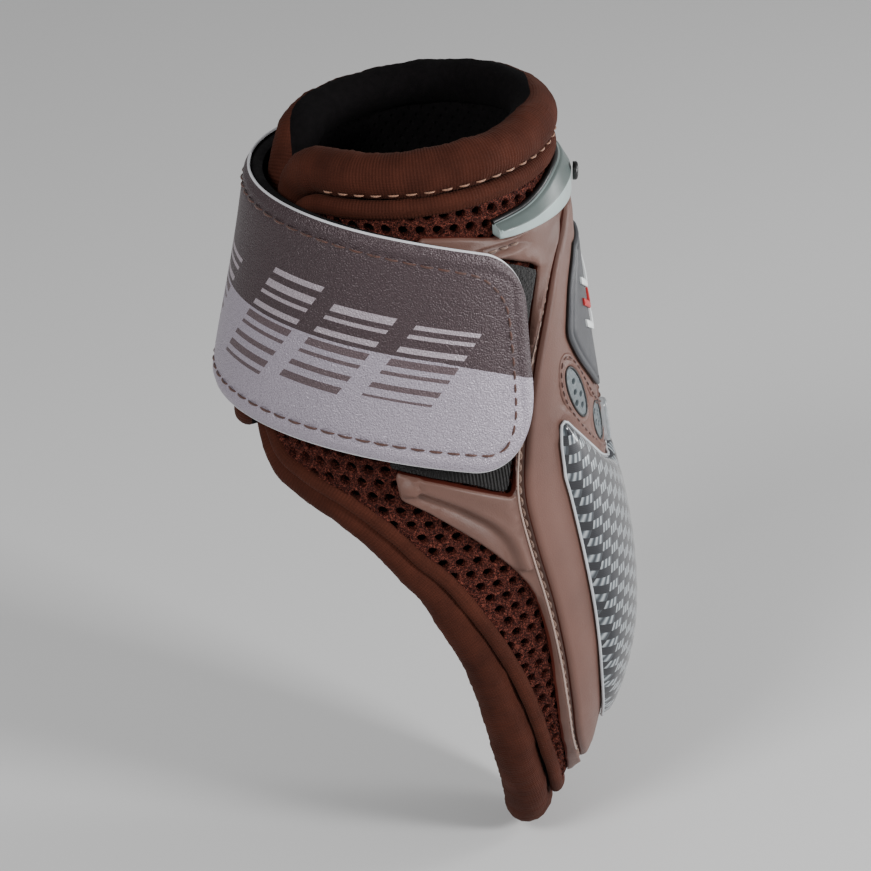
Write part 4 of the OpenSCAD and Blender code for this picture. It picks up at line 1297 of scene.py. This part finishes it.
def strap_bulge(t, d):
    return 1.1 * np.exp(-((t - 188) / 30) ** 2) * eased((d - 30) / 40)


SEAM = dict(pitch=4.1, length=3.6, r=0.34)
BOX_SEAM = dict(pitch=3.6, length=2.7, r=0.36)
FACE_TOP = 8.62


def strap_part(name, t0, t1, inner, outer, margin, mats, tip, crown=0.0):
    n = int((t1 - t0) * STRAP_PITCH / 0.9)
    u = np.linspace(0, 1, n)
    u = 1 - (1 - u) ** 1.35 if tip else u
    t = mix(t0, t1, u)
    top, low = strap_edges(t, margin)
    v = np.linspace(0, 1, 66)
    T = np.broadcast_to(t[:, None], (n, len(v)))
    D = mix(top[:, None], low[:, None], v[None])
    s = np.minimum(np.minimum(D - top[:, None], low[:, None] - D), ((t1 - T) * STRAP_PITCH if tip else 99))
    s = np.maximum(s, 0)
    outer_h = outer + crown * (eased(s / 2.2) - 1) * 0.8
    if crown:
        outer_h = outer_h - 0.28 * np.exp(-((s - 4.3) / 0.8) ** 2) + 0.16 * wobble(T * 0.05, D * 0.09, 0.7)
    b = strap_bulge(T, D)
    uv = np.stack([(T - 180) * STRAP_PITCH + 75, D - strap_line(T)], -1)
    shape = Shape()
    shape.grid(place(T, D, outer_h + b), 0, uv, flip=True)
    shape.grid(place(T, D, inner + b), 2, uv)
    for row in (0, -1):
        k = np.linspace(0, 1, 5)
        bulb = 0.45 * np.sin(k * math.pi)
        wall = place(T[:, row][:, None], D[:, row][:, None] + (bulb if row else -bulb)[None],
                     mix((inner + b)[:, row][:, None], (outer_h + b)[:, row][:, None], k[None]))
        shape.grid(wall, 1, None, flip=row == 0)
    for col in (0, -1):
        wall = np.stack([place(T[col], D[col], (inner + b)[col]), place(T[col], D[col], (outer_h + b)[col])], 1)
        shape.grid(wall, 1, None, flip=col != 0)
    return shape.build(name, mats)


def strap_stitches(name, t0, t1, tip):
    st = Shape()
    inset = 4.3
    off = lambda tt, dd: FACE_TOP + strap_bulge(tt, dd)
    if tip:
        tt = mix(t0, STRAP_END - 0.02, 1 - (1 - np.linspace(0, 1, 500)) ** 2)
        top, low = strap_edges(tt)
        edge = band(tt, top, low)
        path = shifted(resample(flat(edge[:, 0], edge[:, 1]), 1.0), 0, False)
        moved = shifted(path, -inset, False)
        good = distance(moved, path) > inset * 0.97
        path = resample(moved[good], 0.8)
        path = resample(smooth_path(path), 0.8)
        stitches(st, path, off, **SEAM)
    else:
        tt = np.linspace(t0, t1, 200)
        top, low = strap_edges(tt)
        for edge_d in (top + inset, low - inset):
            stitches(st, resample(flat(tt, edge_d), 0.8), off, **SEAM)
    return st.build(name, [M["thread_brown"]])


FACE = [M["face"], M["cut"], M["backing"]]
BACK = [M["backing"]] * 3
SPLIT = 138
anchor_x = [float(place(100, 50, 6)[0]), float(place(112, 50, 6)[0])]
y_mid = [float(place(160, 50, 6)[1]), float(place(176, 50, 6)[1])]


def strap_pieces(name, t0, t1, tip, nodes_face, nodes_back):
    face = strap_part(name + "_face", t0, t1, 7.0, 8.6, 0, FACE, tip, crown=1.0)
    back = strap_part(name + "_backing", t0 + (1 if t0 == STRAP_START else 0), t1 - (1 if tip else 0),
                      3.7, 7.0, 0.9, BACK, tip)
    sewn = strap_stitches(name + "_stitches", t0 + (2 if t0 == STRAP_START else 0), t1, tip)
    for obj, slot_name, stands in ((face, "strap_face", nodes_face), (back, "strap_backing", nodes_back),
                                   (sewn, "strap_face", [])):
        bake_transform(obj)
        if stands:
            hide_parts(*stands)


strap_pieces("strap_sewn", STRAP_START, SPLIT, False,
             ["strap_anchor_face", "strap_front_face"], ["strap_anchor_backing", "strap_front_backing"])
strap_pieces("strap_free", SPLIT, STRAP_END, True,
             ["strap_tongue_face"], ["strap_tongue_backing"])
tt = np.linspace(268, 298, 40)
hook_outline = band(tt, np.full(40, 34.0), np.full(40, 74.0))
hook = plate("hook_tape", hook_outline, lambda t, d, s: np.full(len(t), 3.6) + strap_bulge(t, d), 2.7,
             [M["hooks"], M["hooks"]], 2.0, (0.4,), step=1.5)
finish(hook, ["hook_patch"], "strap_tongue")
# box stitching that holds the strap to the far window
box = Shape()
corners = np.array([[64.5, 34], [88, 27.5], [88, 73], [64.5, 81], [64.5, 34]], float)
path = flat(corners[:, 0], corners[:, 1])
stitches(box, resample(path, 0.8), FACE_TOP, **BOX_SEAM)
stitches(box, resample(flat(np.array([66.0, 86.5]), np.array([36.0, 71.5])), 0.8), FACE_TOP, **BOX_SEAM)
stitches(box, resample(flat(np.array([66.0, 86.5]), np.array([78.0, 30.0])), 0.8), FACE_TOP, **BOX_SEAM)
finish(box.build("strap_box_stitches", [M["thread_brown"]]), [])

# ---------------------------------------------------------------- studio
ground = bpy.data.meshes.new("floor")
size = 6
ground.from_pydata([(-size, -size, 0), (size, -size, 0), (size, size, 0), (-size, size, 0)], [], [(0, 1, 2, 3)])
floor = bpy.data.objects.new("floor", ground)
floor.location.z = cad_box[0][2] - 0.001
scene.collection.objects.link(floor)
n = Nodes("floor_pale")
n.color((0.66, 0.66, 0.66))
n.set(Roughness=0.95, Specular_IOR_Level=0.1)
ground.materials.append(n.mat)
world = bpy.data.worlds.new("world")
scene.world = world
world.use_nodes = True
world.node_tree.nodes["Background"].inputs[0].default_value = (1, 1, 1, 1)
world.node_tree.nodes["Background"].inputs[1].default_value = 0.3


def softbox(name, where, size_xy, power, aim=(0, 0, -0.09)):
    data = bpy.data.lights.new(name, "AREA")
    data.shape = "RECTANGLE"
    data.size, data.size_y = size_xy
    data.energy = power
    lamp = bpy.data.objects.new(name, data)
    lamp.location = where
    lamp.rotation_euler = (Vector(aim) - Vector(where)).to_track_quat("-Z", "Y").to_euler()
    scene.collection.objects.link(lamp)


softbox("key", (-0.6, -0.9, 0.7), (0.4, 0.4), 11)
softbox("low_right", (0.85, -0.5, 0.3), (0.22, 0.22), 10)
softbox("right", (0.95, 0.3, 0.1), (0.25, 0.7), 7)
